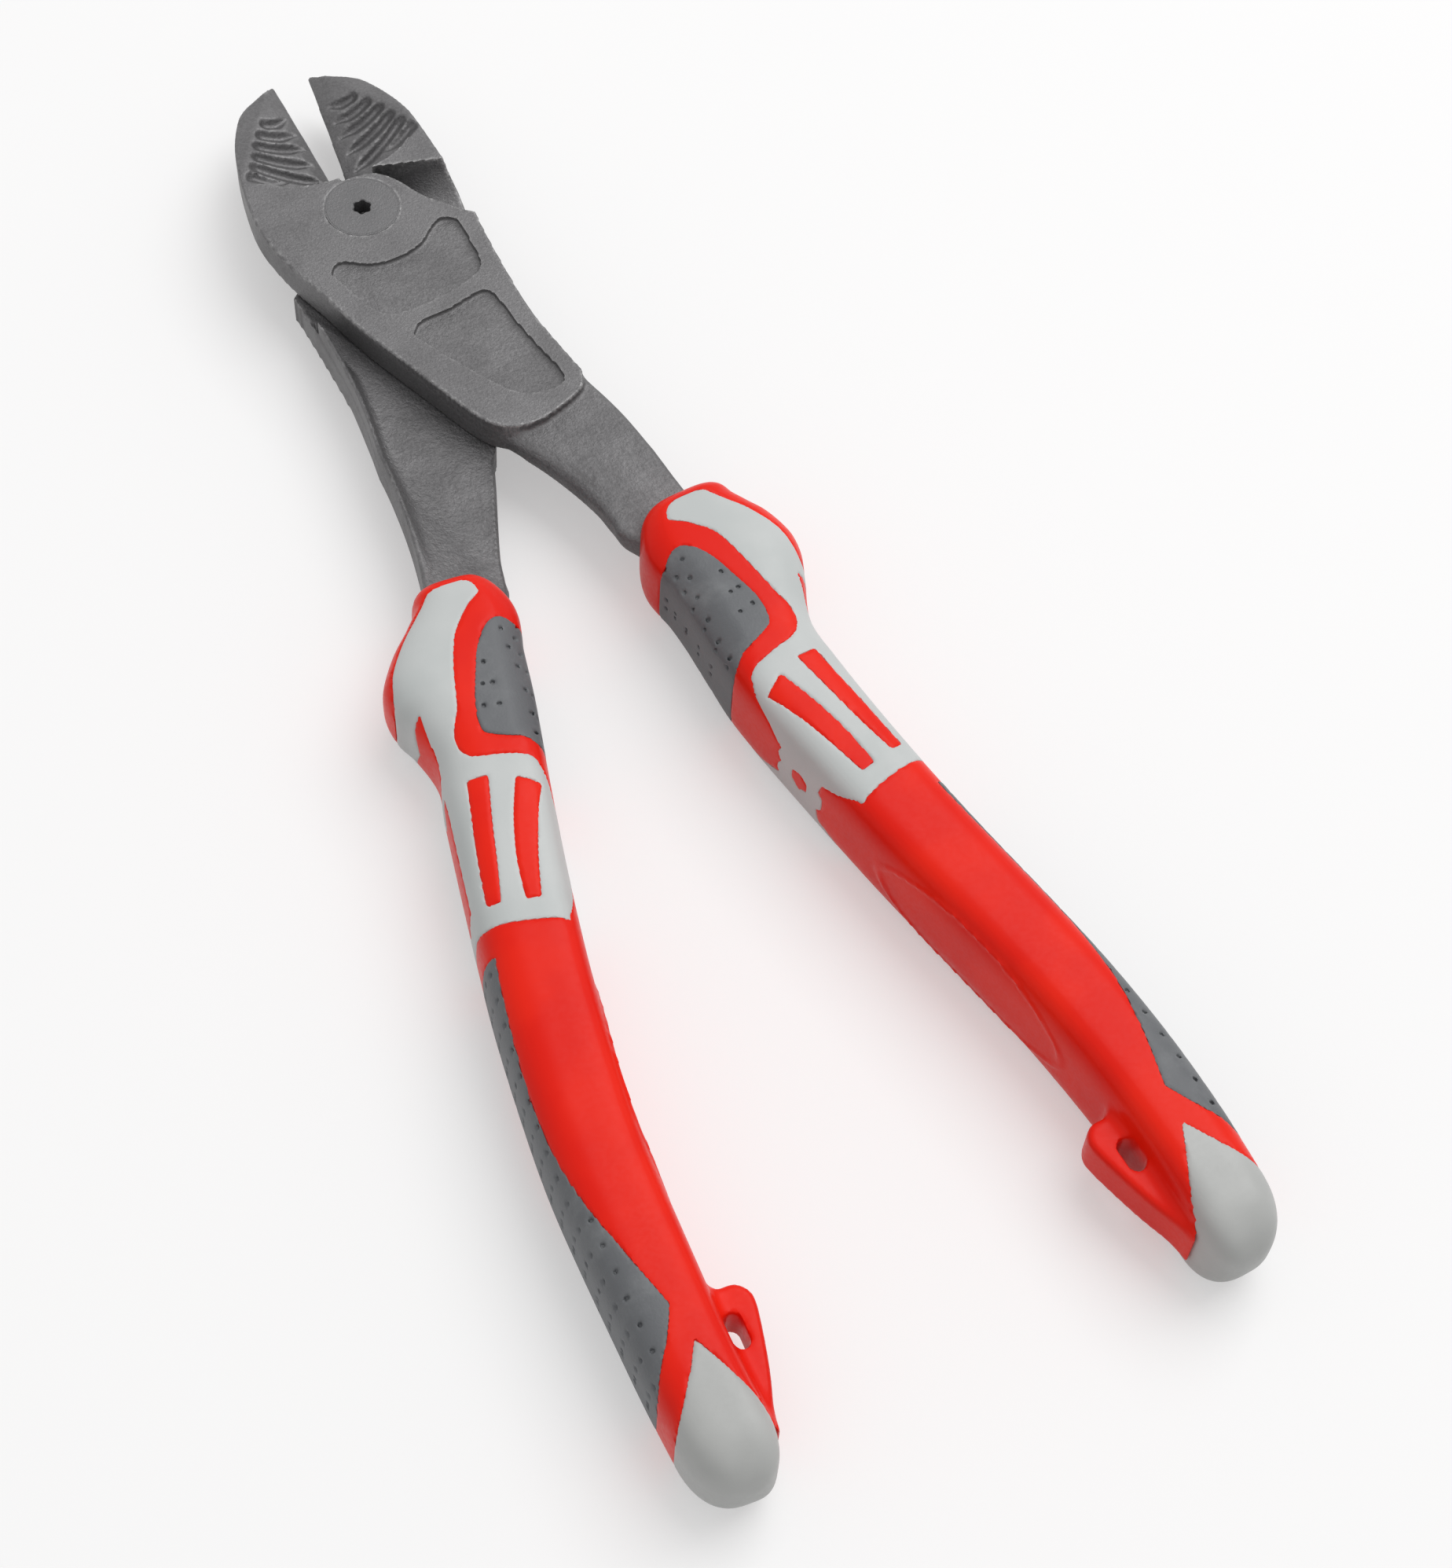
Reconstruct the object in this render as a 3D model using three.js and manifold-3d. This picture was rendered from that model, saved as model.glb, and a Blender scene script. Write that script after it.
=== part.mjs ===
// Heavy side-cutting pliers of the hand-held bolt-cutter kind: two forged halves lapped on one
// pivot bolt, each with a two-colour moulded grip. Millimetres, jaws to +Y, front face to +Z.
import * as THREE from 'three';
import { mergeVertices } from 'three/addons/utils/BufferGeometryUtils.js';
import { ConvexGeometry } from 'three/addons/geometries/ConvexGeometry.js';
import Module from 'manifold-3d';

const wasm = await Module();
wasm.setup();

// ---- Driving dimensions -------------------------------------------------------------------
const REST_OPENING = 8.7;        // degrees between the cutting edges in the modelled pose
const LAP_GAP = 0.3;             // between the two lapped cheeks
const EDGE_GAP = 0.5;            // between the two cutting edges when closed
const SEAM = 0.3;                // between moulded pieces, and between steel and plastic

const JAW_REACH = 33.2;          // pivot axis to jaw tip
const JAW_HALF_WIDTH = 16.1;     // cutting edge to the jaw's outer side, at the joint
const TIP_WIDTH = 0.9;           // flat end of one jaw
const JOINT_THICKNESS = 11.5;    // both cheeks together
const CHEEK_REACH = 49.1;        // pivot axis to the rounded end of a cheek
const CHEEK_HALF_WIDTH = 15.2;   // pivot axis to the cheek's handle-side edge
const CHEEK_CLEARANCE = 0.6;     // from a cheek to the rim of the other half when closed
const DRAFT = 0.14;              // how far the jaw's outer wall draws in for each mm of depth
const RECESS_DEPTH = 0.6;        // the two bare panels sunk in each cheek

const BEVEL_WIDTH = 12.4;        // cutting edge to the ridge of the jaw face
const EDGE_BEVEL_WIDTH = 2.7;    // the steeper ground strip along the cutting edge
const EDGE_BEVEL_RISE = 2.0;     // half thickness of the jaw where that strip ends
const NOSE_RISE = 1.54;          // half thickness of the jaw tip at the cutting edge
const NOSE_SLOPE = 0.295;        // how fast it thickens towards the joint
const NOSE_LEAN = 0.063;         // and towards the cutting edge
const EDGE_LAND = 0.1;           // half thickness left at the cutting edge
const RIB_COUNT = 6;             // cast grooves across each jaw face
const RIB_PITCH = 2.75;
const RIB_RADIUS = 0.75;

const BOLT_HEAD_RADIUS = 5.55;
const BOLT_HEAD_DEPTH = 2.2;
const BOLT_RADIUS = 4;
const BOLT_FIT = 0.3;            // round the bolt, its head and its nut
const SOCKET_ACROSS_FLATS = 2.5;
const SOCKET_DEPTH = 3;
const HUB_WALL = 0.75;           // steel left round the bolt's head at the throat

const SHANK_THICKNESS = 7.4;
const SHANK_WIDTH = 11.7;        // where a shank enters its grip
const SHANK_OFFSET = 10.2;       // centre line to the grips' middle at their tops
const RIM_WIDTH = 1.2;           // raised rim along the outer side of the shank's hollow
const TANG_WIDTH = 5.6;          // halfway down the grip
const TANG_END_GAP = 30;         // from the tang's end to the handle's end

const GRIP_TOP = 70.3;           // pivot axis to the top rim of the grip
const HANDLE_REACH = 209.2;      // pivot axis to the end of the handle
const GRIP_THICKNESS = 17.4;
const GRIP_WIDTH = 13.6;         // of the straight lower part
const THUMB_REST_WIDTH = 21;     // of the bulge near the top
const SKIN = 1.8;                // thickness of the sleeve, the pads and the cap
const EYE_THICKNESS = 7;         // of the tether eye's fin
const EYE_REACH = 5.2;           // how far the fin stands off the grip
const EYE_SLOT_WIDTH = 3;
const EYE_SLOT_LENGTH = 5.6;

// ---- Derived sizes ------------------------------------------------------------------------
const HALF = JOINT_THICKNESS / 2;
const LAP = LAP_GAP / 2;
const EDGE = EDGE_GAP / 2;
const HUB = BOLT_HEAD_RADIUS + HUB_WALL;
const GRIP_LENGTH = HANDLE_REACH - GRIP_TOP;
const TANG_END = HANDLE_REACH - TANG_END_GAP;
const SHANK_MIDDLE = SHANK_OFFSET - 0.4;
const BEYOND = 4 * JOINT_THICKNESS;      // further than any piece in thickness
const REST_TURN = THREE.MathUtils.degToRad(REST_OPENING / 2);

// ---- Solids -------------------------------------------------------------------------------
function solid(geometry) {
  geometry.deleteAttribute('normal');
  geometry.deleteAttribute('uv');
  const merged = mergeVertices(geometry, 1e-5);
  return new wasm.Manifold(new wasm.Mesh({
    numProp: 3,
    vertProperties: new Float32Array(merged.attributes.position.array),
    triVerts: new Uint32Array(merged.index.array),
  }));
}

function geometryOf(body) {
  const mesh = body.getMesh();
  const geometry = new THREE.BufferGeometry();
  geometry.setAttribute('position', new THREE.BufferAttribute(new Float32Array(mesh.vertProperties), 3));
  geometry.setIndex(new THREE.BufferAttribute(new Uint32Array(mesh.triVerts), 1));
  geometry.computeVertexNormals();
  return geometry;
}

// A smooth run of outline points through the ones given.
function spline(points, steps = 3) {
  const curve = new THREE.SplineCurve(points.map(([x, y]) => new THREE.Vector2(x, y)));
  return curve.getPoints((points.length - 1) * steps).map((p) => [p.x, p.y]);
}

// The slab between two heights under a closed outline, with holes if any.
function slab(outline, bottom, top, holes = []) {
  const shape = new THREE.Shape(outline.map(([x, y]) => new THREE.Vector2(x, y)));
  shape.holes = holes.map((hole) => new THREE.Path(hole.map(([x, y]) => new THREE.Vector2(x, y))));
  const geometry = new THREE.ExtrudeGeometry(shape, { depth: top - bottom, bevelEnabled: false });
  return solid(geometry.translate(0, 0, bottom));
}

function drum(radius, bottom, top, sides = 48) {
  const geometry = new THREE.CylinderGeometry(radius, radius, top - bottom, sides);
  geometry.rotateX(Math.PI / 2);
  return solid(geometry.translate(0, 0, (top + bottom) / 2));
}

function hull(points) {
  return solid(new ConvexGeometry(points.map(([x, y, z]) => new THREE.Vector3(x, y, z))));
}

const turnedOver = (outline) => outline.map(([x, y]) => [-x, y]);

// An outline moved outward (or inward, if negative) by a distance.
function grown(outline, distance) {
  const area = outline.reduce((sum, [x, y], i) => {
    const [nx, ny] = outline[(i + 1) % outline.length];
    return sum + x * ny - nx * y;
  }, 0);
  const side = Math.sign(area) * distance;
  return outline.map(([x, y], i) => {
    const before = outline[(i + outline.length - 1) % outline.length];
    const after = outline[(i + 1) % outline.length];
    const run = new THREE.Vector2(x - before[0], y - before[1]).normalize();
    const next = new THREE.Vector2(after[0] - x, after[1] - y).normalize();
    const mitre = new THREE.Vector2(run.y + next.y, -run.x - next.x);
    const reach = (2 * side) / Math.max(mitre.lengthSq(), 1);
    return [x + mitre.x * reach, y + mitre.y * reach];
  });
}

// ---- The centre line -------------------------------------------------------------------------
// The closed tool isn't quite straight: seen from the front, its centre line wanders to the right
// of a straight line through the pivot. Each pair is a distance below the pivot and how far the
// line is to the right there. A half is drawn in its own closed frame, so its side (1 for the front
// half and right grip, -1 for the rear half and left grip) says which way the line goes in it.
const SWAY = [
  [-33, 1], [-7, 0], [0, 0.3], [10, 0.4], [20, 0.6], [30, 0.9], [36, 1.15], [44, 1.5], [49, 2.1], [54, 2.5],
  [60, 2.6], [65, 2.5], [70.3, 2.3], [88, 1.5], [105, -0.1], [133, -0.7], [154, 0.1], [181, 1.7], [209, 2.3],
];
const LEAN = (SWAY[0][1] - SWAY[1][1]) / (SWAY[1][0] - SWAY[0][0]);

function sway(side, y) {
  const down = THREE.MathUtils.clamp(-y, SWAY[0][0], SWAY[SWAY.length - 1][0]);
  const i = Math.max(1, SWAY.findIndex(([place]) => place >= down));
  const [[start, from], [end, to]] = [SWAY[i - 1], SWAY[i]];
  return side * THREE.MathUtils.mapLinear(down, start, end, from, to);
}

const bent = (side, outline) => outline.map(([x, y]) => [x + sway(side, y), y]);

// A jaw's cutter, leaned with the straight run of the centre line beside the jaws.
function leaned(side, geometry) {
  geometry.applyMatrix4(new THREE.Matrix4().makeShear(0, 0, side * LEAN, 0, 0, 0));
  return geometry.translate(side * (SWAY[1][1] + LEAN * SWAY[1][0]), 0, 0);
}

// ---- Outlines of one forged half, unbent (jaw to -X, handle to +X, closed) -------------------
const jawSide = spline([
  [-TIP_WIDTH, JAW_REACH], [-0.171 * JAW_HALF_WIDTH, 0.955 * JAW_REACH],
  [-0.457 * JAW_HALF_WIDTH, 0.88 * JAW_REACH], [-0.609 * JAW_HALF_WIDTH, 0.783 * JAW_REACH],
  [-0.764 * JAW_HALF_WIDTH, 0.623 * JAW_REACH], [-0.879 * JAW_HALF_WIDTH, 0.434 * JAW_REACH],
  [-0.969 * JAW_HALF_WIDTH, 0.199 * JAW_REACH], [-JAW_HALF_WIDTH, 0.05 * JAW_REACH],
  [-0.975 * JAW_HALF_WIDTH, -0.065 * CHEEK_REACH], [-0.919 * JAW_HALF_WIDTH, -0.157 * CHEEK_REACH],
  [-0.839 * JAW_HALF_WIDTH, -0.253 * CHEEK_REACH], [-0.706 * JAW_HALF_WIDTH, -0.454 * CHEEK_REACH],
  [-0.528 * JAW_HALF_WIDTH, -0.647 * CHEEK_REACH], [-0.32 * JAW_HALF_WIDTH, -0.877 * CHEEK_REACH],
  [-0.165 * JAW_HALF_WIDTH, -0.969 * CHEEK_REACH], [0.1 * CHEEK_HALF_WIDTH, -CHEEK_REACH],
  [0.44 * CHEEK_HALF_WIDTH, -0.984 * CHEEK_REACH], [0.757 * CHEEK_HALF_WIDTH, -0.947 * CHEEK_REACH],
  [0.872 * CHEEK_HALF_WIDTH, -0.886 * CHEEK_REACH],
], 2);
const handleSide = spline([
  [0.872 * CHEEK_HALF_WIDTH, -0.886 * CHEEK_REACH], [0.835 * CHEEK_HALF_WIDTH, -0.729 * CHEEK_REACH],
  [0.825 * CHEEK_HALF_WIDTH, -0.593 * CHEEK_REACH], [0.88 * CHEEK_HALF_WIDTH, -0.387 * CHEEK_REACH],
  [0.97 * CHEEK_HALF_WIDTH, -0.218 * CHEEK_REACH],
]);
const throat = spline([
  [0.965 * CHEEK_HALF_WIDTH, -1.42 * HUB], [0.93 * CHEEK_HALF_WIDTH, -1.33 * HUB],
  [0.87 * CHEEK_HALF_WIDTH, -1.2 * HUB], [1.9 * HUB, -0.94 * HUB],
  [1.43 * HUB, -0.29 * HUB],
  [1.14 * HUB, 0.4 * HUB],
  [0.8 * HUB, 0.84 * HUB],
  [0.4 * HUB, 0.97 * HUB],
  [-EDGE, HUB],
], 2);
const cheekOutline = [...jawSide, ...handleSide.slice(1), ...throat, [-EDGE, JAW_REACH]];

// The far side of the jaw stops at a shoulder, which the other half's throat swings up to.
const SHOULDER_ROOT = [-0.6 * HUB, 1.14 * HUB];
const SHOULDER_SIDE = [-0.975 * JAW_HALF_WIDTH, 0.8 * HUB];
const SHOULDER_FOOT = [-0.975 * JAW_HALF_WIDTH, -0.4 * HUB];
const jawOutline = [
  ...jawSide.filter(([x, y]) => y > SHOULDER_SIDE[1] && x < 0),
  SHOULDER_SIDE,
  SHOULDER_ROOT,
  [-EDGE, 1.27 * HUB],
  [-EDGE, JAW_REACH],
];

// ---- The grip's shape along its length: where its sides are and how thick it is ---------------
// Shares run from the grip's top rim (0) to the handle's end (1).
const gripInner = new THREE.SplineCurve([
  [0, 0.2], [0.006, -0.05], [0.035, -0.39], [0.062, -0.44], [0.1, -0.37], [0.178, -0.31],
  [0.243, -0.245], [0.36, -0.07], [0.5, 0.13], [0.645, 0.32], [0.74, 0.38], [0.85, 0.4],
  [0.92, 0.37], [0.955, 0.3], [0.98, 0.36], [0.993, 0.52], [1, 0.69],
].map(([at, out]) => new THREE.Vector2(at, SHANK_OFFSET + out * GRIP_WIDTH)));
const gripWidth = new THREE.SplineCurve([
  [0, 0.29], [0.006, 0.65], [0.035, 1.3], [0.062, 1.53], [0.092, 1.56], [0.12, 1.51], [0.15, 1.37],
  [0.2, 1.15], [0.25, 1.13], [0.36, 1.08], [0.5, 1.045], [0.645, 1.0], [0.74, 0.97], [0.85, 0.93],
  [0.92, 0.915], [0.955, 0.93], [0.98, 0.75], [0.993, 0.45], [1, 0.1],
].map(([at, wide]) => new THREE.Vector2(at, wide)));
const gripThickness = new THREE.SplineCurve([
  [0, 0.72], [0.006, 0.86], [0.03, 0.96], [0.1, 1], [0.2, 0.99], [0.5, 0.99], [0.8, 1], [0.92, 0.97],
  [0.965, 0.82], [0.99, 0.5], [1, 0.2],
].map(([at, thick]) => new THREE.Vector2(at, thick * GRIP_THICKNESS)));

// The value of a curve of (x, value) pairs at one x.
function valueAt(curve, x) {
  const { points } = curve;
  const i = Math.max(1, points.findIndex((p) => p.x >= x));
  const span = (x - points[i - 1].x) / (points[i].x - points[i - 1].x);
  return curve.getPoint((i - 1 + span) / (points.length - 1)).y;
}

function gripSection(side, at) {
  const bulge = valueAt(gripWidth, at);
  const extra = Math.max(0, bulge - 1.05) / (1.56 - 1.05);
  const wide = Math.min(bulge, 1.05) * GRIP_WIDTH + extra * (THUMB_REST_WIDTH - 1.05 * GRIP_WIDTH);
  const inner = valueAt(gripInner, at) + sway(side, -(GRIP_TOP + at * GRIP_LENGTH));
  return { inner, outer: inner + wide, halfThickness: valueAt(gripThickness, at) / 2 };
}

const STATIONS = [
  0, 0.006, 0.02, 0.04, 0.065, 0.092, 0.13, 0.165, 0.2, 0.25, 0.34, 0.46, 0.58, 0.7, 0.8, 0.87, 0.92, 0.95,
  0.975, 0.992, 1,
];
const RING = 16;                 // points round one section of the grip
const SQUARENESS = 3.2;          // exponent of the section's superellipse

// The whole grip as one solid, drawn in on every side by an inset.
function gripForm(side, inset) {
  const drawnIn = 1 - (2 * inset) / GRIP_LENGTH;
  const rings = STATIONS.map((at) => {
    const { inner, outer, halfThickness } = gripSection(side, at);
    const wide = Math.max((outer - inner) / 2 - inset, 0.15);
    const thick = Math.max(halfThickness - inset, 0.15);
    const y = -(GRIP_TOP + inset + at * drawnIn * GRIP_LENGTH);
    return Array.from({ length: RING }, (_, i) => {
      const turn = ((i + 0.5) / RING) * 2 * Math.PI;
      const [c, s] = [Math.cos(turn), Math.sin(turn)];
      const reach = (Math.abs(c) ** SQUARENESS + Math.abs(s) ** SQUARENESS) ** (-1 / SQUARENESS);
      return [(inner + outer) / 2 + wide * reach * c, y, thick * reach * s];
    });
  });
  return solid(loft(rings));
}

// A closed mesh over a row of rings with equal numbers of points.
function loft(rings) {
  const count = rings[0].length;
  const index = [];
  for (let r = 0; r < rings.length - 1; r += 1) {
    for (let i = 0; i < count; i += 1) {
      const [a, b] = [r * count + i, r * count + ((i + 1) % count)];
      index.push(a, b, a + count, b, b + count, a + count);
    }
  }
  const last = (rings.length - 1) * count;
  for (let i = 1; i < count - 1; i += 1) {
    index.push(0, i + 1, i, last, last + i, last + i + 1);
  }
  const geometry = new THREE.BufferGeometry();
  geometry.setAttribute('position', new THREE.Float32BufferAttribute(rings.flat(2), 3));
  geometry.setIndex(index);
  return geometry;
}

// ---- Regions of the grip seen from above, as [share of its length, share of its width] ---------
// A share of the width below 0 or above 1 lies beyond the side of the grip.
function plan(side, shares) {
  return shares.map(([at, across]) => {
    const { inner, outer } = gripSection(side, THREE.MathUtils.clamp(at, 0, 1));
    return [inner + across * (outer - inner), -(GRIP_TOP + at * GRIP_LENGTH)];
  });
}

function gripRegions(side) {
  const straight = (shares) => plan(side, shares);
  const curved = (shares, steps = 2) => spline(plan(side, shares), steps);
  return {
    sleeve: [
      ...curved([[0.034, 0.24], [0.022, 0.28], [0.016, 0.5], [0.017, 0.76], [0.032, 0.86], [0.06, 0.92],
        [0.095, 0.945], [0.12, 0.97]]),
      ...straight([[0.14, 1.3], [0.426, 1.3]]),
      ...curved([[0.424, 1.04], [0.412, 0.94], [0.41, 0.68], [0.424, 0.13]]),
      ...straight([[0.388, -0.13], [0.405, -0.4], [0.31, -0.4]]),
      ...curved([[0.279, -0.03], [0.253, 0.03], [0.238, 0.12], [0.227, 0.3], [0.22, 0.53],
        [0.203, 0.765], [0.185, 0.72], [0.149, 0.585], [0.106, 0.51], [0.07, 0.47], [0.045, 0.38]]),
    ],
    windows: [
      [
        ...curved([[0.271, 0.09], [0.322, 0.24], [0.389, 0.34]]),
        ...curved([[0.386, 0.49], [0.32, 0.43], [0.256, 0.3]]),
      ],
      [
        ...curved([[0.246, 0.57], [0.313, 0.67], [0.384, 0.72]]),
        ...curved([[0.382, 0.85], [0.311, 0.83], [0.243, 0.77]]),
      ],
    ],
    upperPad: [
      ...straight([[0.106, -0.4]]),
      ...curved([[0.101, -0.07], [0.084, 0.01], [0.069, 0.18], [0.089, 0.32], [0.124, 0.36],
        [0.16, 0.43], [0.193, 0.52], [0.203, 0.36], [0.213, 0.16], [0.228, 0.0], [0.255, -0.15]]),
      ...straight([[0.26, -0.4]]),
    ],
    lowerPad: [
      ...straight([[0.438, 1.4]]),
      ...curved([[0.434, 0.86], [0.473, 0.88], [0.55, 0.91], [0.631, 0.9], [0.7, 0.82],
        [0.765, 0.66], [0.826, 0.475]]),
      ...straight([[0.855, 0.64], [0.88, 0.83], [0.925, 1.15], [0.935, 1.4]]),
    ],
    endCap: straight([[1.05, -2], [0.975, -0.6], [0.957, -0.08], [0.927, 0.04], [0.894, 0.21],
      [0.866, 0.37], [0.866, 0.41], [0.888, 0.57], [0.916, 0.79], [0.945, 1.05], [0.97, 1.6], [1.05, 2]]),
  };
}

// The tether eye: a fin on the handle's inner side with a slot through it.
function eyeFin(side) {
  const outline = [
    [0.8, -0.8], [0.812, 0.1], [0.813, 0.6], [0.82, 0.88], [0.833, 1], [0.862, 0.85], [0.905, 0.52],
    [0.947, 0.1], [0.94, -0.8],
  ].map(([at, out]) => [gripSection(side, at).inner - out * EYE_REACH, -(GRIP_TOP + at * GRIP_LENGTH)]);
  return slab(outline, -EYE_THICKNESS / 2, EYE_THICKNESS / 2);
}

function eyeSlot(side) {
  const at = 0.858;
  const radius = EYE_SLOT_WIDTH / 2;
  const x = gripSection(side, at).inner - radius;
  const y = -(GRIP_TOP + at * GRIP_LENGTH);
  const reach = EYE_SLOT_LENGTH / 2 - radius;
  const end = (way) => Array.from({ length: 7 }, (_, i) => {
    const turn = (i / 6) * Math.PI;
    return [x + way * radius * Math.cos(turn), y + way * (reach + radius * Math.sin(turn))];
  });
  return slab([...end(1), ...end(-1)], -BEYOND, BEYOND);
}

// ---- One forged half -------------------------------------------------------------------------
// The shank and its tang, seen from above, drawn larger all round by a clearance.
function shankOutline(side, clearance = 0) {
  const tangSide = (way) => [0.22, 0.5, 0.8, 1].map((share) => {
    const below = share * (TANG_END - GRIP_TOP);
    const { inner, outer } = gripSection(side, below / GRIP_LENGTH);
    return [(inner + outer) / 2 + way * (TANG_WIDTH / 2) * (1.12 - 0.2 * share), -(GRIP_TOP + below)];
  });
  const outer = spline([
    ...bent(side, [
      [0.925 * CHEEK_HALF_WIDTH, -0.245 * CHEEK_REACH],
      [0.915 * CHEEK_HALF_WIDTH, -0.31 * CHEEK_REACH],
      [0.86 * CHEEK_HALF_WIDTH, -0.44 * CHEEK_REACH],
      [0.825 * CHEEK_HALF_WIDTH, -0.66 * CHEEK_REACH],
      [0.88 * CHEEK_HALF_WIDTH, -0.9 * CHEEK_REACH],
      [SHANK_MIDDLE + 0.37 * SHANK_WIDTH, -0.74 * GRIP_TOP],
      [SHANK_MIDDLE + 0.43 * SHANK_WIDTH, -0.87 * GRIP_TOP],
      [SHANK_MIDDLE + 0.53 * SHANK_WIDTH, -GRIP_TOP],
    ]),
    ...tangSide(1),
  ], 2);
  const inner = spline([
    ...tangSide(-1).reverse(),
    ...bent(side, [
      [SHANK_MIDDLE - 0.2 * SHANK_WIDTH, -1.14 * GRIP_TOP],
      [SHANK_MIDDLE - 0.49 * SHANK_WIDTH, -1.03 * GRIP_TOP],
      [SHANK_MIDDLE - 0.55 * SHANK_WIDTH, -0.98 * GRIP_TOP],
      [SHANK_MIDDLE - 0.6 * SHANK_WIDTH, -0.92 * GRIP_TOP],
      [0.03 * CHEEK_HALF_WIDTH, -1.15 * CHEEK_REACH],
      [-0.32 * CHEEK_HALF_WIDTH, -0.92 * CHEEK_REACH],
      [-0.1 * CHEEK_HALF_WIDTH, -0.8 * CHEEK_REACH],
    ]),
  ], 2);
  return grown([...outer, ...inner], clearance);
}

// What the other half's cheek needs: the lap under it, and a hollow that runs out up the shank.
function lapHollow(side) {
  const inward = -CHEEK_HALF_WIDTH;
  const plans = bent(side, [
    [inward, -0.6 * CHEEK_REACH],
    [0.87 * CHEEK_HALF_WIDTH - RIM_WIDTH, -0.6 * CHEEK_REACH],
    [0.88 * CHEEK_HALF_WIDTH - RIM_WIDTH, -0.87 * CHEEK_REACH],
    [0.33 * SHANK_OFFSET, -1.03 * GRIP_TOP],
    [inward, -1.03 * GRIP_TOP],
  ]);
  const floor = [
    ...plans.map((place) => [...place, LAP]),
    ...bent(side, [[SHANK_MIDDLE + 0.4 * SHANK_WIDTH - RIM_WIDTH, -GRIP_TOP]])
      .map((place) => [...place, -SHANK_THICKNESS / 2]),
  ];
  const below = floor.map(([x, y]) => [x, y, -BEYOND]);
  const other = bent(side, grown(turnedOver(cheekOutline), CHEEK_CLEARANCE));
  return slab(other, -BEYOND, LAP).add(hull([...floor, ...below]));
}

// What is ground away on one face of the jaw (1 front, -1 back) to bring it to an edge.
function jawBevel(side, face) {
  const region = [
    [2 * EDGE_BEVEL_WIDTH, 1.12 * HUB],
    ...spline([[-EDGE, 1.12 * HUB], [-0.32 * BEVEL_WIDTH, 1.19 * HUB], [-0.65 * BEVEL_WIDTH, 1.43 * HUB],
      [-0.85 * BEVEL_WIDTH, 1.75 * HUB], [-1.02 * BEVEL_WIDTH, 2.25 * HUB]], 2),
    [-1.02 * BEVEL_WIDTH, 1.1 * JAW_REACH],
    [2 * EDGE_BEVEL_WIDTH, 1.1 * JAW_REACH],
  ];
  const profile = [
    [3 * EDGE_BEVEL_WIDTH, EDGE_LAND],
    [-EDGE, EDGE_LAND],
    [-EDGE_BEVEL_WIDTH, EDGE_BEVEL_RISE],
    [-BEVEL_WIDTH, HALF],
    [-BEVEL_WIDTH, BEYOND],
    [3 * EDGE_BEVEL_WIDTH, BEYOND],
  ];
  const reach = 2 * JAW_REACH;
  const shape = new THREE.Shape(profile.map(([x, z]) => new THREE.Vector2(x, face * z)));
  const geometry = new THREE.ExtrudeGeometry(shape, { depth: reach, bevelEnabled: false });
  geometry.rotateX(Math.PI / 2);
  geometry.translate(0, reach, 0);
  return solid(leaned(side, geometry)).intersect(slab(bent(side, region), -BEYOND, BEYOND));
}

// The facet that thins the jaw towards its tip on one face.
function noseFacet(face) {
  const rise = (x, y) => NOSE_RISE + NOSE_SLOPE * (JAW_REACH - y) + NOSE_LEAN * x;
  const corners = [];
  for (const y of [JAW_REACH / 3, JAW_REACH + 2]) {
    for (const x of [-BEYOND, BEYOND]) {
      corners.push([x, y, face * rise(x, y)], [x, y, face * BEYOND]);
    }
  }
  return hull(corners);
}

// The back half of the jaw's thickness, whose outer wall draws in from the lap to the back face.
function backJaw(side) {
  const inset = DRAFT * (HALF + LAP);
  const drawnIn = ([x, y]) => [Math.min(x + inset, -EDGE), y];
  const between = (back, front) => hull([
    ...bent(side, back).map((place) => [...place, -HALF]),
    ...bent(side, front).map((place) => [...place, LAP]),
  ]);
  const shoulder = between(
    [SHOULDER_ROOT, drawnIn(SHOULDER_SIDE)],
    [SHOULDER_ROOT, SHOULDER_SIDE, SHOULDER_FOOT, [SHOULDER_ROOT[0], SHOULDER_ROOT[1] + 2]],
  );
  return slab(bent(side, jawOutline), -HALF, LAP)
    .intersect(between(jawOutline.map(drawnIn), jawOutline))
    .add(shoulder);
}

// Cast grooves that run up and outward across the jaw face.
function jawRibs(side, face) {
  const slope = (HALF - EDGE_BEVEL_RISE) / (BEVEL_WIDTH - EDGE_BEVEL_WIDTH);
  const grooves = Array.from({ length: RIB_COUNT }, (_, i) => {
    const lean = THREE.MathUtils.degToRad(24 + 3 * i);
    const start = EDGE_BEVEL_WIDTH + 0.6;
    const length = (BEVEL_WIDTH - start) * (1 - 0.13 * i);
    const from = new THREE.Vector3(
      -start,
      1.75 * HUB + i * RIB_PITCH,
      face * (EDGE_BEVEL_RISE + RIB_RADIUS / 2),
    );
    const run = new THREE.Vector3(-length, length * Math.tan(lean), face * length * slope);
    const geometry = new THREE.CylinderGeometry(RIB_RADIUS, RIB_RADIUS, run.length(), 8);
    geometry.applyQuaternion(new THREE.Quaternion().setFromUnitVectors(
      new THREE.Vector3(0, 1, 0), run.clone().normalize(),
    ));
    const middle = from.addScaledVector(run, 0.5);
    return solid(leaned(side, geometry.translate(middle.x, middle.y, middle.z)));
  });
  return grooves.reduce((all, groove) => all.add(groove));
}

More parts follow.
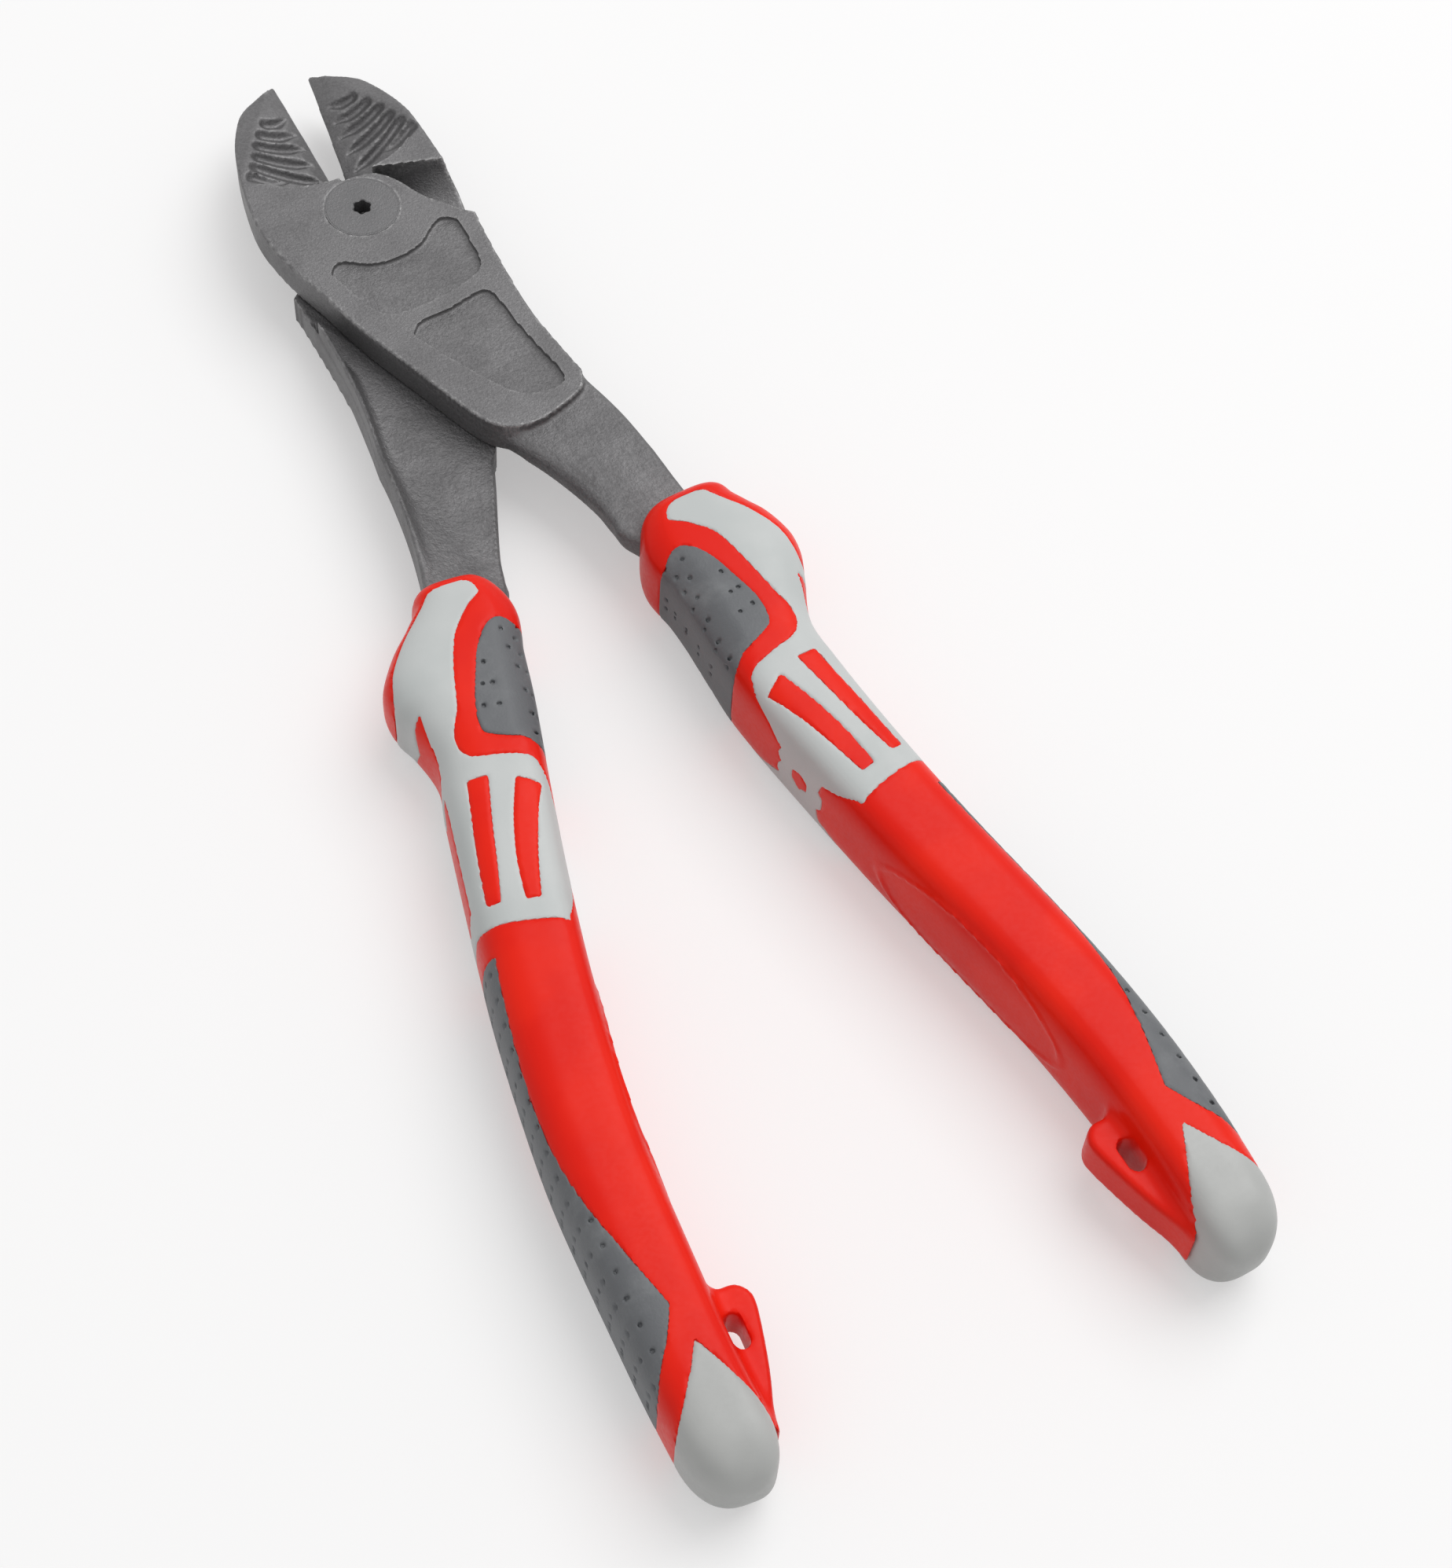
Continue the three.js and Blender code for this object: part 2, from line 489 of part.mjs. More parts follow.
const upperRecess = spline([
  [-0.68, -0.2], [-0.62, -0.175], [-0.5, -0.175], [-0.27, -0.222], [0, -0.236], [0.28, -0.217],
  [0.5, -0.168], [0.62, -0.157], [0.74, -0.185], [0.73, -0.26], [0.68, -0.37], [0.53, -0.408],
  [0.13, -0.432], [-0.35, -0.43], [-0.53, -0.38], [-0.62, -0.28],
].map(([x, y]) => [x * CHEEK_HALF_WIDTH, y * CHEEK_REACH]), 2);
const lowerRecess = spline([
  [-0.34, -0.53], [-0.2, -0.495], [0.13, -0.49], [0.45, -0.475], [0.59, -0.495], [0.61, -0.62],
  [0.64, -0.75], [0.68, -0.86], [0.61, -0.905], [0.38, -0.905], [0.15, -0.86], [-0.02, -0.76],
  [-0.2, -0.64],
].map(([x, y]) => [x * CHEEK_HALF_WIDTH, y * CHEEK_REACH]), 2);

function forgedHalf(side) {
  const shank = slab(shankOutline(side), -SHANK_THICKNESS / 2, SHANK_THICKNESS / 2)
    .subtract(lapHollow(side));
  let half = slab(bent(side, cheekOutline), LAP, HALF).add(backJaw(side)).add(shank);
  for (const face of [1, -1]) {
    half = half.subtract(jawBevel(side, face)).subtract(noseFacet(face)).subtract(jawRibs(side, face));
  }
  half = half.subtract(slab(bent(side, upperRecess), HALF - RECESS_DEPTH, BEYOND));
  half = half.subtract(slab(bent(side, lowerRecess), HALF - RECESS_DEPTH, BEYOND));
  half = half.subtract(drum(BOLT_RADIUS + BOLT_FIT, -BEYOND, BEYOND, 36));
  return half.subtract(drum(BOLT_HEAD_RADIUS + BOLT_FIT, HALF - BOLT_HEAD_DEPTH - BOLT_FIT, BEYOND));
}

// ---- The pivot ---------------------------------------------------------------------------------
function pivotBolt() {
  const head = drum(BOLT_HEAD_RADIUS, HALF - BOLT_HEAD_DEPTH, HALF);
  const shaft = drum(BOLT_RADIUS, -HALF, HALF - BOLT_HEAD_DEPTH, 36);
  const socket = drum(SOCKET_ACROSS_FLATS / Math.sqrt(3), HALF - SOCKET_DEPTH, BEYOND, 6);
  return head.add(shaft).subtract(socket);
}

function pivotNut() {
  return drum(BOLT_HEAD_RADIUS, -HALF, BOLT_HEAD_DEPTH - HALF)
    .subtract(drum(BOLT_RADIUS + BOLT_FIT, -BEYOND, BEYOND, 36));
}

// ---- One grip: five mouldings round a tang ------------------------------------------------------
function gripPieces(side) {
  const form = gripForm(side, 0);
  const core = gripForm(side, SKIN);
  const seat = gripForm(side, SKIN + SEAM);
  const { sleeve, windows, upperPad, lowerPad, endCap } = gripRegions(side);
  const through = (region, holes = []) => slab(region, -BEYOND, BEYOND, holes);
  const pocket = (region, holes = []) => through(
    grown(region, SEAM),
    holes.map((hole) => grown(hole, -SEAM)),
  ).subtract(seat);
  const cavity = slab(
    shankOutline(side, SEAM),
    -SHANK_THICKNESS / 2 - SEAM,
    SHANK_THICKNESS / 2 + SEAM,
  );
  const skin = (region, holes) => form.intersect(through(region, holes))
    .subtract(core)
    .subtract(cavity);
  const body = form.add(eyeFin(side))
    .subtract(pocket(sleeve, windows))
    .subtract(pocket(upperPad))
    .subtract(pocket(lowerPad))
    .subtract(pocket(endCap))
    .subtract(eyeSlot(side))
    .subtract(cavity);
  return {
    grip_body: body,
    sleeve: skin(sleeve, windows),
    upper_pad: skin(upperPad),
    lower_pad: skin(lowerPad),
    end_cap: skin(endCap),
  };
}

// ---- The tool ----------------------------------------------------------------------------------
const FINISHES = {
  forged: { color: 0x5b5b5c, roughness: 0.55, metalness: 0.8 },
  grip_body: { color: 0xd8281c, roughness: 0.35, metalness: 0 },
  sleeve: { color: 0xd3d7d5, roughness: 0.4, metalness: 0 },
  upper_pad: { color: 0x4c5054, roughness: 0.75, metalness: 0 },
  lower_pad: { color: 0x4c5054, roughness: 0.75, metalness: 0 },
  end_cap: { color: 0xb9bebb, roughness: 0.45, metalness: 0 },
};

function piece(name, body, finish) {
  const mesh = new THREE.Mesh(geometryOf(body), new THREE.MeshStandardMaterial(FINISHES[finish]));
  mesh.name = name;
  return mesh;
}

// One half with its grip, closed, its jaw to -X and its handle to +X.
function gripped(halfName, sideName, side) {
  const assembly = new THREE.Group();
  assembly.add(piece(halfName, forgedHalf(side), 'forged'));
  for (const [name, body] of Object.entries(gripPieces(side))) {
    assembly.add(piece(`${sideName}_${name}`, body, name));
  }
  return assembly;
}

const front = gripped('front_half', 'right', 1);
front.add(piece('pivot_bolt', pivotBolt(), 'forged'));
front.add(piece('pivot_nut', pivotNut(), 'forged'));
front.rotation.z = REST_TURN;

const turned = gripped('rear_half', 'left', -1);
turned.rotation.y = Math.PI;
const rear = new THREE.Group();
rear.add(turned);
rear.rotation.z = -REST_TURN;

// The origin is under the middle of the tool, on the surface that it lies on.
const tool = new THREE.Group();
tool.add(front, rear);
tool.updateMatrixWorld(true);
const box = new THREE.Box3().setFromObject(tool, true);
const middle = box.getCenter(new THREE.Vector3());
tool.position.set(-middle.x, -middle.y, -box.min.z);

const group = new THREE.Group();
group.add(tool);

export default group;
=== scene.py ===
"""Heavy side-cutting pliers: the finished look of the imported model.

The tool is two forged steel halves lapped on one pivot bolt. Each half carries a grip of five
mouldings. Shapes are worked out in millimetres in the closed frame of one half: the pivot axis is
the origin, the jaw points to +Y and lies to -X, the handle runs to -Y and lies to +X.
"""

from __future__ import annotations

import copy
import logging
import math
from dataclasses import dataclass, field
from enum import Enum

import bmesh
import bpy
import numpy as np
from mathutils import Matrix, Vector

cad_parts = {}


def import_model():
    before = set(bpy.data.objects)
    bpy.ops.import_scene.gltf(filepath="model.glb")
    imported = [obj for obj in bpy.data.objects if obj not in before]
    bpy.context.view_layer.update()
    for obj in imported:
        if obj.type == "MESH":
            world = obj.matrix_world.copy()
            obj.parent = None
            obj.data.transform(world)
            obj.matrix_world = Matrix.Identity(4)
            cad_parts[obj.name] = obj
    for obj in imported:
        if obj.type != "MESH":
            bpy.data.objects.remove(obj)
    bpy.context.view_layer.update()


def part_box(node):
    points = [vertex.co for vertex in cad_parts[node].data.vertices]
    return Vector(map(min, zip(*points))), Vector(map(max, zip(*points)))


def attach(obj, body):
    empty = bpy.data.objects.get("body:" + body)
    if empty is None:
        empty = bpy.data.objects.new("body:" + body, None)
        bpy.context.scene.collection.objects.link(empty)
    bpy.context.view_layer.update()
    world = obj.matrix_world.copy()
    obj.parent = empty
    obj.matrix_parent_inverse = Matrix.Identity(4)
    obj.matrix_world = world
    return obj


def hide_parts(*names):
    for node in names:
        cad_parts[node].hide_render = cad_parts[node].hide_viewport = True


LOG = logging.getLogger("pliers")
MILLIMETRE = 0.001
Array = np.ndarray
Pairs = list[tuple[float, float]]
Colour = tuple[float, float, float, float]


# ---- Curves and distances ----------------------------------------------------------------------
def spline(points: Array | Pairs, steps: int = 6) -> Array:
    """Draws a smooth line through plan points.

    Between two points the line is the Catmull-Rom cubic of those two and their neighbours.

    Args:
        points: The points that the line passes through.
        steps: Pieces between two points.

    Returns:
        An array of (x, y) rows.
    """
    p = np.array(points, float)
    ends = np.vstack([p[:1], p, p[-1:]])
    t = (np.arange((len(p) - 1) * steps + 1) / steps)[:, None]
    i = np.minimum(t.astype(int), len(p) - 2)[:, 0]
    t = t - i[:, None]
    a, b, c, d = ends[i], ends[i + 1], ends[i + 2], ends[i + 3]
    m, n = (c - a) / 2, (d - b) / 2
    return b + m * t + (3 * (c - b) - 2 * m - n) * t**2 + (2 * (b - c) + m + n) * t**3


def along(table: Array | Pairs, x: Array) -> Array:
    """Reads a smooth table of (x, value) rows at many x.

    Each stretch is the cubic that leaves each row with the slope between that row's neighbours.

    Args:
        table: Rows in rising order of x.
        x: Where to read it; beyond its ends it keeps its end values.

    Returns:
        The values, in the shape of x.
    """
    rows = np.array(table, float)
    knots, values = rows[:, 0], rows[:, 1]
    slopes = np.gradient(values, knots)
    slopes[1:-1] = (values[2:] - values[:-2]) / (knots[2:] - knots[:-2])
    x = np.clip(x, knots[0], knots[-1])
    i = np.clip(np.searchsorted(knots, x, side="right") - 1, 0, len(knots) - 2)
    span = knots[i + 1] - knots[i]
    t = (x - knots[i]) / span
    rise = values[i + 1] - values[i]
    m, n = slopes[i] * span, slopes[i + 1] * span
    return values[i] + m * t + (3 * rise - 2 * m - n) * t**2 + (m + n - 2 * rise) * t**3


def side_at(side: Pairs, y: Array) -> Array:
    """Reads the x of a line of plan points, which run downward, at many y."""
    return along(np.array(side)[::-1, ::-1], y)


def line_distance(line: Array, x: Array, y: Array, closed: bool = False) -> Array:
    """Measures how far points lie from a broken line.

    The distance to a stretch is that to the nearest point on it, which is the foot of the
    perpendicular, kept between the stretch's ends.

    Args:
        line: Rows of (x, y).
        x: First coordinates of the points.
        y: Second coordinates of the points.
        closed: Whether the last row joins the first.

    Returns:
        Distances, in the shape that x and y broadcast to.
    """
    start, end = (line, np.roll(line, -1, axis=0)) if closed else (line[:-1], line[1:])
    px, py = (part.astype(np.float32)[..., None] for part in np.broadcast_arrays(x, y))
    ax, ay = start.T.astype(np.float32)
    bx, by = (end - start).T.astype(np.float32)
    length = np.maximum(bx * bx + by * by, 1e-9)
    share = np.clip(((px - ax) * bx + (py - ay) * by) / length, 0, 1)
    return np.sqrt(((px - ax - share * bx) ** 2 + (py - ay - share * by) ** 2).min(axis=-1))


def outline_distance(outline: Array, x: Array, y: Array) -> Array:
    """Measures how far points lie outside a closed outline, negative inside it.

    A point is inside where a ray to +x crosses the outline an odd number of times.

    Args:
        outline: Rows of (x, y).
        x: First coordinates of the points.
        y: Second coordinates of the points.

    Returns:
        Signed distances.
    """
    distance = line_distance(outline, x, y, closed=True)
    px, py = (part[..., None] for part in np.broadcast_arrays(x, y))
    ax, ay = outline.T
    bx, by = np.roll(outline, -1, axis=0).T
    rise = np.where(by == ay, 1e-9, by - ay)
    crossed = ((ay > py) != (by > py)) & (px < (bx - ax) * (py - ay) / rise + ax)
    return np.where(crossed.sum(axis=-1) % 2 == 1, -distance, distance)


def both(a: Array, b: Array, radius: float = 0.0) -> Array:
    """Keeps what lies in two solids, with the edge between them rounded to a radius.

    Within the radius of both faces the depth is measured from a circle that touches them.

    Args:
        a: The first field.
        b: The second field.
        radius: The edge's radius.

    Returns:
        The field.
    """
    if radius == 0:
        return np.maximum(a, b)
    u, v = a + radius, b + radius
    return np.hypot(np.maximum(u, 0), np.maximum(v, 0)) - radius + np.minimum(np.maximum(u, v), 0)


def either(a: Array, b: Array, radius: float = 0.0) -> Array:
    """Joins two solids, with a fillet of a radius in the corner between them."""
    return -both(-a, -b, radius)


def without(a: Array, b: Array, radius: float = 0.0) -> Array:
    """Cuts one solid out of another, with the cut's rim rounded to a radius."""
    return both(a, -b, radius)


# ---- Meshes ------------------------------------------------------------------------------------
def link(name: str, data: bpy.types.ID) -> bpy.types.Object:
    """Puts new data into the scene as an object."""
    made = bpy.data.objects.new(name, data)
    bpy.context.scene.collection.objects.link(made)
    return made


@dataclass
class Links:
    """The sides of a surface's faces, each leading from a point to a neighbour of it."""

    start: Array
    end: Array
    count: int

    def met(self) -> Array:
        """How many neighbours each point has."""
        return np.bincount(self.start, minlength=self.count)

    def mean(self, values: Array) -> Array:
        """The mean of the neighbours' values, for one row of values a point.

        Args:
            values: Rows of values, one for each point.

        Returns:
            The means, in the same rows.
        """
        sums = [np.bincount(self.start, part[self.end], minlength=self.count)
                for part in values.T]
        return np.stack(sums, axis=1) / np.maximum(self.met(), 1)[:, None]


@dataclass
class Shell:
    """A closed surface: its points in millimetres and its faces."""

    points: Array
    faces: Array

    def piece(
        self,
        name: str,
        finish: "Finish",
        sharp: float = 40.0,
        weld: float = 0.0,
        marks: dict[str, Array] | None = None,
    ) -> bpy.types.Object:
        """Makes the surface a Blender object at the origin.

        Args:
            name: The piece's name.
            finish: What it is made of.
            sharp: Faces that meet at more than this many degrees keep a hard edge.
            weld: Points nearer to each other than this many millimetres become one.
            marks: Numbers to store on the points, by name.

        Returns:
            The new object.
        """
        mesh = bpy.data.meshes.new(name)
        mesh.from_pydata((self.points * MILLIMETRE).tolist(), [], self.faces.tolist())
        for label, values in (marks or {}).items():
            layer = mesh.attributes.new(label, "FLOAT", "POINT")
            layer.data.foreach_set("value", values.astype(np.float32))
        if weld > 0:
            form = bmesh.new()
            form.from_mesh(mesh)
            bmesh.ops.remove_doubles(form, verts=form.verts, dist=weld * MILLIMETRE)
            form.to_mesh(mesh)
            form.free()
        mesh.polygons.foreach_set("use_smooth", np.ones(len(mesh.polygons), bool))
        mesh.set_sharp_from_angle(angle=math.radians(sharp))
        mesh.materials.append(finish.material())
        return link(name, mesh)

    def links(self) -> Links:
        """The links between the points."""
        ends = np.roll(self.faces, -1, axis=1).ravel()
        return Links(self.faces.ravel(), ends, len(self.points))

    def proud(self, pitch: float) -> Array:
        """How far each point stands out of the mean of its neighbours, from 0 to 1.

        The scale runs from a twentieth of the sample points' pitch to a quarter of it.

        Args:
            pitch: The sample points' pitch.

        Returns:
            One number for each point.
        """
        links = self.links()
        corners = self.points[self.faces]
        normals = np.cross(corners[:, 2] - corners[:, 0], corners[:, 3] - corners[:, 1])
        sums = [np.bincount(links.start, np.repeat(part, 4), minlength=links.count)
                for part in normals.T]
        normal = np.stack(sums, axis=1)
        normal /= np.maximum(np.linalg.norm(normal, axis=1, keepdims=True), 1e-9)
        shift = links.mean(self.points) - self.points
        return np.clip(-(shift * normal).sum(axis=1) / pitch * 5 - 0.25, 0, 1)

    def convexity(self, pitch: float, gain: float = 1.4) -> Array:
        """How proud each point's neighbours stand on average, times a gain, from 0 to 1."""
        return np.clip(self.links().mean(self.proud(pitch)[:, None])[:, 0] * gain, 0, 1)

    def eased(self, pitch: float, rounds: int = 9, least: float = 0.6) -> "Shell":
        """Straightens the rims.

        Args:
            pitch: The sample points' pitch.
            rounds: How often each point on a rim moves half way to its neighbours' mean.
            least: How proud the points of a rim stand.

        Returns:
            The surface with its rims straightened.
        """
        links = self.links()
        rim = self.proud(pitch) > least
        on_rim = rim[links.start] & rim[links.end]
        links = Links(links.start[on_rim], links.end[on_rim], links.count)
        moved = links.met() >= 2
        points = self.points.copy()
        for _ in range(rounds):
            points[moved] = (points[moved] + links.mean(points)[moved]) / 2
        return Shell(points, self.faces)


@dataclass
class Block:
    """A box of evenly spaced sample points on which a solid's depth is worked out.

    A solid is a field: negative inside, positive outside, in millimetres from its surface.
    """

    low: tuple[float, float, float]
    high: tuple[float, float, float]
    pitch: float
    x: Array = field(init=False)
    y: Array = field(init=False)
    z: Array = field(init=False)

    def __post_init__(self) -> None:
        """Lays out the sample points along each axis, ready to broadcast."""
        counts = [int(math.ceil((b - a) / self.pitch)) + 1 for a, b in zip(self.low, self.high)]
        ticks = [a + self.pitch * np.arange(n) for a, n in zip(self.low, counts)]
        self.x = ticks[0][:, None, None]
        self.y = ticks[1][None, :, None]
        self.z = ticks[2][None, None, :]

    def bent(self, shift: Array) -> "Block":
        """The same sample points, with coordinates whose x is less by a shift at each y.

        Args:
            shift: How far x is less, for each y.

        Returns:
            The bent sample points.
        """
        other = copy.copy(self)
        other.x = self.x - shift
        return other

    @property
    def whole(self) -> tuple[int, ...]:
        """How many sample points there are along x, y and z."""
        return np.broadcast_shapes(self.x.shape, self.y.shape, self.z.shape)

    def plan(self, *parts: Array | Pairs) -> Array:
        """Signed distance to an outline in x and y, drawn in parts, the same at every height."""
        outline = np.vstack(parts)
        return outline_distance(outline, self.x[:, :, 0], self.y[:, :, 0])[:, :, None]

    def profile(self, outline: Array) -> Array:
        """Signed distance to an outline in y and z, the same at every x."""
        return outline_distance(outline, self.y[0], self.z[0])[None]

    def shell(self, depth: Array) -> Shell:
        """Draws the surface where a field is zero.

        Every cell that the surface passes through gets one point, the mean of where the surface
        crosses the cell's edges, and every crossed edge joins the points of its four cells.

        Args:
            depth: The field, sampled on the whole block and positive on its sides.

        Returns:
            The closed surface, with its faces pointing out.
        """
        depth = depth.astype(np.float32)
        cells = tuple(n - 1 for n in depth.shape)
        offset = np.zeros((3, *cells), np.float32)
        count = np.zeros(cells, np.float32)
        crossings = []
        for a in range(3):
            b, c = (a + 1) % 3, (a + 2) % 3
            near = np.take(depth, np.arange(cells[a]), axis=a)
            far = np.take(depth, np.arange(1, cells[a] + 1), axis=a)
            crossed = (near < 0) != (far < 0)
            share = np.where(crossed, near / np.where(crossed, near - far, 1), 0)
            crossings.append((crossed, near < 0))
            for db in (0, 1):
                for dc in (0, 1):
                    part = [slice(None)] * 3
                    part[b] = slice(db, db + cells[b])
                    part[c] = slice(dc, dc + cells[c])
                    here = crossed[tuple(part)]
                    offset[a] += share[tuple(part)]
                    offset[b] += db * here
                    offset[c] += dc * here
                    count += here
        used = count > 0
        number = np.cumsum(used.ravel()).reshape(cells) - 1
        at = np.argwhere(used)
        points = at + (offset[:, used] / count[used]).T
        faces = []
        for a, (crossed, outward) in enumerate(crossings):
            b, c = (a + 1) % 3, (a + 2) % 3
            spot = np.argwhere(crossed)
            spot = spot[(spot[:, b] > 0) & (spot[:, c] > 0)]
            spot = spot[(spot[:, b] < cells[b]) & (spot[:, c] < cells[c])]
            corner = []
            for db, dc in ((1, 1), (0, 1), (0, 0), (1, 0)):
                cell = spot.copy()
                cell[:, b] -= db
                cell[:, c] -= dc
                corner.append(number[tuple(cell.T)])
            quad = np.stack(corner, axis=1)
            flip = ~outward[tuple(spot.T)]
            quad[flip] = quad[flip, ::-1]
            faces.append(quad)
        return Shell(np.array(self.low) + self.pitch * points, np.vstack(faces))


def turned(profile: Array, sides: int, reach: Array | None = None) -> Shell:
    """Carries a profile round the z axis.

    Args:
        profile: Rows of (radius, height), from the axis out and back to the axis.
        sides: Steps round the axis.
        reach: One radius for each row and step, in place of the profile's, for a shape that is
            not round.

    Returns:
        The closed surface; its first and last rows close on the axis.
    """
    turn = 2 * np.pi * np.arange(sides) / sides
    radius = profile[1:-1, :1] * np.ones(sides) if reach is None else reach
    height = profile[1:-1, 1:] * np.ones(sides)
    ring = np.stack([radius * np.cos(turn), radius * np.sin(turn), height], axis=-1)
    ends = np.array([[0, 0, profile[0, 1]], [0, 0, profile[-1, 1]]])
    points = np.vstack([ring.reshape(-1, 3), ends])
    rows = len(profile) - 2
    i, j = np.meshgrid(np.arange(rows - 1), np.arange(sides), indexing="ij")
    k = (j + 1) % sides
    walls = np.stack([i * sides + j, (i + 1) * sides + j, (i + 1) * sides + k, i * sides + k], -1)
    step = np.arange(sides)
    following = (step + 1) % sides
    first, last = rows * sides, rows * sides + 1
    end = (rows - 1) * sides
    caps = [np.stack([step * 0 + first, step, following], axis=1),
            np.stack([step * 0 + last, end + following, end + step], axis=1)]
    faces = [*walls.reshape(-1, 4).tolist(), *caps[0].tolist(), *caps[1].tolist()]
    return Shell(points, np.array(faces, dtype=object))


# ---- Materials ---------------------------------------------------------------------------------
class Value:
    """A number or colour that a shader node puts out, with arithmetic that adds Math nodes."""

    def __init__(self, graph: "Graph", socket: bpy.types.NodeSocket) -> None:
        """Wraps a node's output socket."""
        self.graph = graph
        self.socket = socket

    def _math(self, operation: str, other: object) -> "Value":
        """Adds a Math node that works on this value and another, or a number."""
        return self.graph.add("ShaderNodeMath", {"operation": operation}, {0: self, 1: other})

    def __add__(self, other: object) -> "Value":
        """Sum."""
        return self._math("ADD", other)

    def __mul__(self, other: object) -> "Value":
        """Product."""
        return self._math("MULTIPLY", other)


class Graph:
    """The node tree of one material, or of the world."""

    def __init__(self, owner: bpy.types.Material | bpy.types.World) -> None:
        """Empties the tree of a material or a world."""
        owner.use_nodes = True
        self.tree = owner.node_tree
        self.tree.nodes.clear()

    def add(
        self,
        kind: str,
        settings: dict | None = None,
        sockets: dict | None = None,
        output: int | str = 0,
    ) -> Value:
        """Adds a node.

        Args:
            kind: The node's type.
            settings: Attributes that are set before its inputs.
            sockets: Numbers, colours or values for its inputs, by name or index.
            output: Which of its outputs to return.

        Returns:
            That output.
        """
        node = self.tree.nodes.new(kind)
        for name, setting in (settings or {}).items():
            setattr(node, name, setting)
        for name, value in (sockets or {}).items():
            if isinstance(value, Value):
                self.tree.links.new(value.socket, node.inputs[name])
            else:
                node.inputs[name].default_value = value
        return Value(self, node.outputs[output] if node.outputs else None)

    def place(self) -> Value:
        """A point's coordinates in the tool's frame."""
        return self.add("ShaderNodeTexCoord", output="Object")

    def noise(self, size: float, detail: float = 3.0, rough: float = 0.5) -> Value:
        """Cloudy noise from 0 to 1.

        Args:
            size: The width of its largest blotches, in millimetres.
            detail: Finer layers added.
            rough: How strong the finer layers are.

        Returns:
            The noise.
        """
        return self.add("ShaderNodeTexNoise", sockets={
            "Vector": self.place(),
            "Scale": 1 / (size * MILLIMETRE),
            "Detail": detail,
            "Roughness": rough,
        })

    def blend(self, share: object, first: object, second: object) -> Value:
        """Mixes two colours."""
        settings = {"data_type": "RGBA"}
        return self.add("ShaderNodeMix", settings, {0: share, 6: first, 7: second}, 2)

    def between(
        self, value: Value, low: float, high: float, start: float = 0.0, end: float = 1.0
    ) -> Value:
        """Carries a value's range from low to high over to that from start to end, clamped.

        Args:
            value: What is carried over.
            low: The lower end of its range.
            high: The upper end of its range.
            start: What low becomes.
            end: What high becomes.

        Returns:
            The new value.
        """
        settings = {"interpolation_type": "SMOOTHSTEP"}
        sockets = {0: value, 1: low, 2: high, 3: start, 4: end}
        return self.add("ShaderNodeMapRange", settings, sockets)

    def attribute(self, name: str) -> Value:
        """A number stored on the mesh's points."""
        return self.add("ShaderNodeAttribute", {"attribute_name": name}, output="Fac")

    def bump(self, height: Value, depth: float) -> Value:
        """A normal bent by a height from 0 to 1 that stands for a depth in millimetres."""
        sockets = {"Height": height, "Distance": depth * MILLIMETRE}
        return self.add("ShaderNodeBump", sockets=sockets)

    def finish(self, sockets: dict) -> None:
        """Puts a Principled shader on the surface."""
        shader = self.add("ShaderNodeBsdfPrincipled", sockets=sockets)
        self.add("ShaderNodeOutputMaterial", sockets={"Surface": shader})


def colour(red: float, green: float, blue: float) -> Colour:
    """Turns a screen colour from 0 to 255 into the linear colour that shaders use.

    Args:
        red: Its red part.
        green: Its green part.
        blue: Its blue part.

    Returns:
        The colour, opaque.
    """
    scaled = np.array([red, green, blue]) / 255
    linear = np.where(scaled <= 0.04045, scaled / 12.92, ((scaled + 0.055) / 1.055) ** 2.4)
    return (*linear.tolist(), 1.0)


@dataclass(frozen=True)
class Finish:
    """What a piece is made of."""

    name: str

    def material(self) -> bpy.types.Material:
        """The finish as a material, made once.

        Returns:
            The material.
        """
        made = bpy.data.materials.get(self.name)
        if made is None:
            made = bpy.data.materials.new(self.name)
            self.dress(Graph(made))
        return made

    def dress(self, graph: Graph) -> None:
        """Builds the finish's nodes."""
        raise NotImplementedError


@dataclass(frozen=True)
class ForgedSteel(Finish):
    """Blackened forged steel: satin grey, rough where it is as forged, bright on its edges with
    wear and a painted highlight.
    """

    shade: Colour = colour(118, 117, 118)
    dark: Colour = colour(84, 83, 84)
    # Pale edge shade: worn metal together with a painted highlight on the edges.
    worn_and_glint: Colour = colour(185, 184, 184)
    metal: float = 0.55
    gloss: tuple[float, float] = (0.48, 0.42)
    relief: float = 0.28

    def dress(self, graph: Graph) -> None:
        """Mottles the grey, lightens the edges with wear and a painted highlight, and lays grain
        and scale in the surface.

        The colour runs from dark to plain with cloudy noise and, by the attribute stored on the
        points, to a pale edge shade that is partly worn metal and partly a painted glint. The
        grain is fine everywhere;
        the scale follows the "rough" attribute.

        Args:
            graph: The finish's empty node tree.
        """
        cloud = graph.between(graph.noise(9, 4, 0.6), 0.35, 0.65)
        fleck = graph.between(graph.noise(0.45, 3, 0.7), 0.3, 0.7)
        rough = graph.attribute("rough")
        patchy = graph.between(graph.noise(1.3, 4, 0.75), 0.4, 0.62)
        # Edges lighten to the pale shade in patches: partly worn metal, partly a painted glint.
        wear = graph.attribute("wear") * patchy * 1.3
        base = graph.blend(cloud * 0.25 + fleck * 0.5 + 0.2, self.dark, self.shade)
        base = graph.blend(wear, base, self.worn_and_glint)
        grain = graph.noise(0.3, 3, 0.6)
        scale = graph.noise(1.3, 4, 0.65)
        height = grain * 0.3 + scale * rough
        graph.finish({
            "Base Color": base,
            "Metallic": self.metal,
            "Roughness": graph.between(cloud, 0, 1, *self.gloss) + rough * 0.06,
            "Normal": graph.bump(height, self.relief),
        })


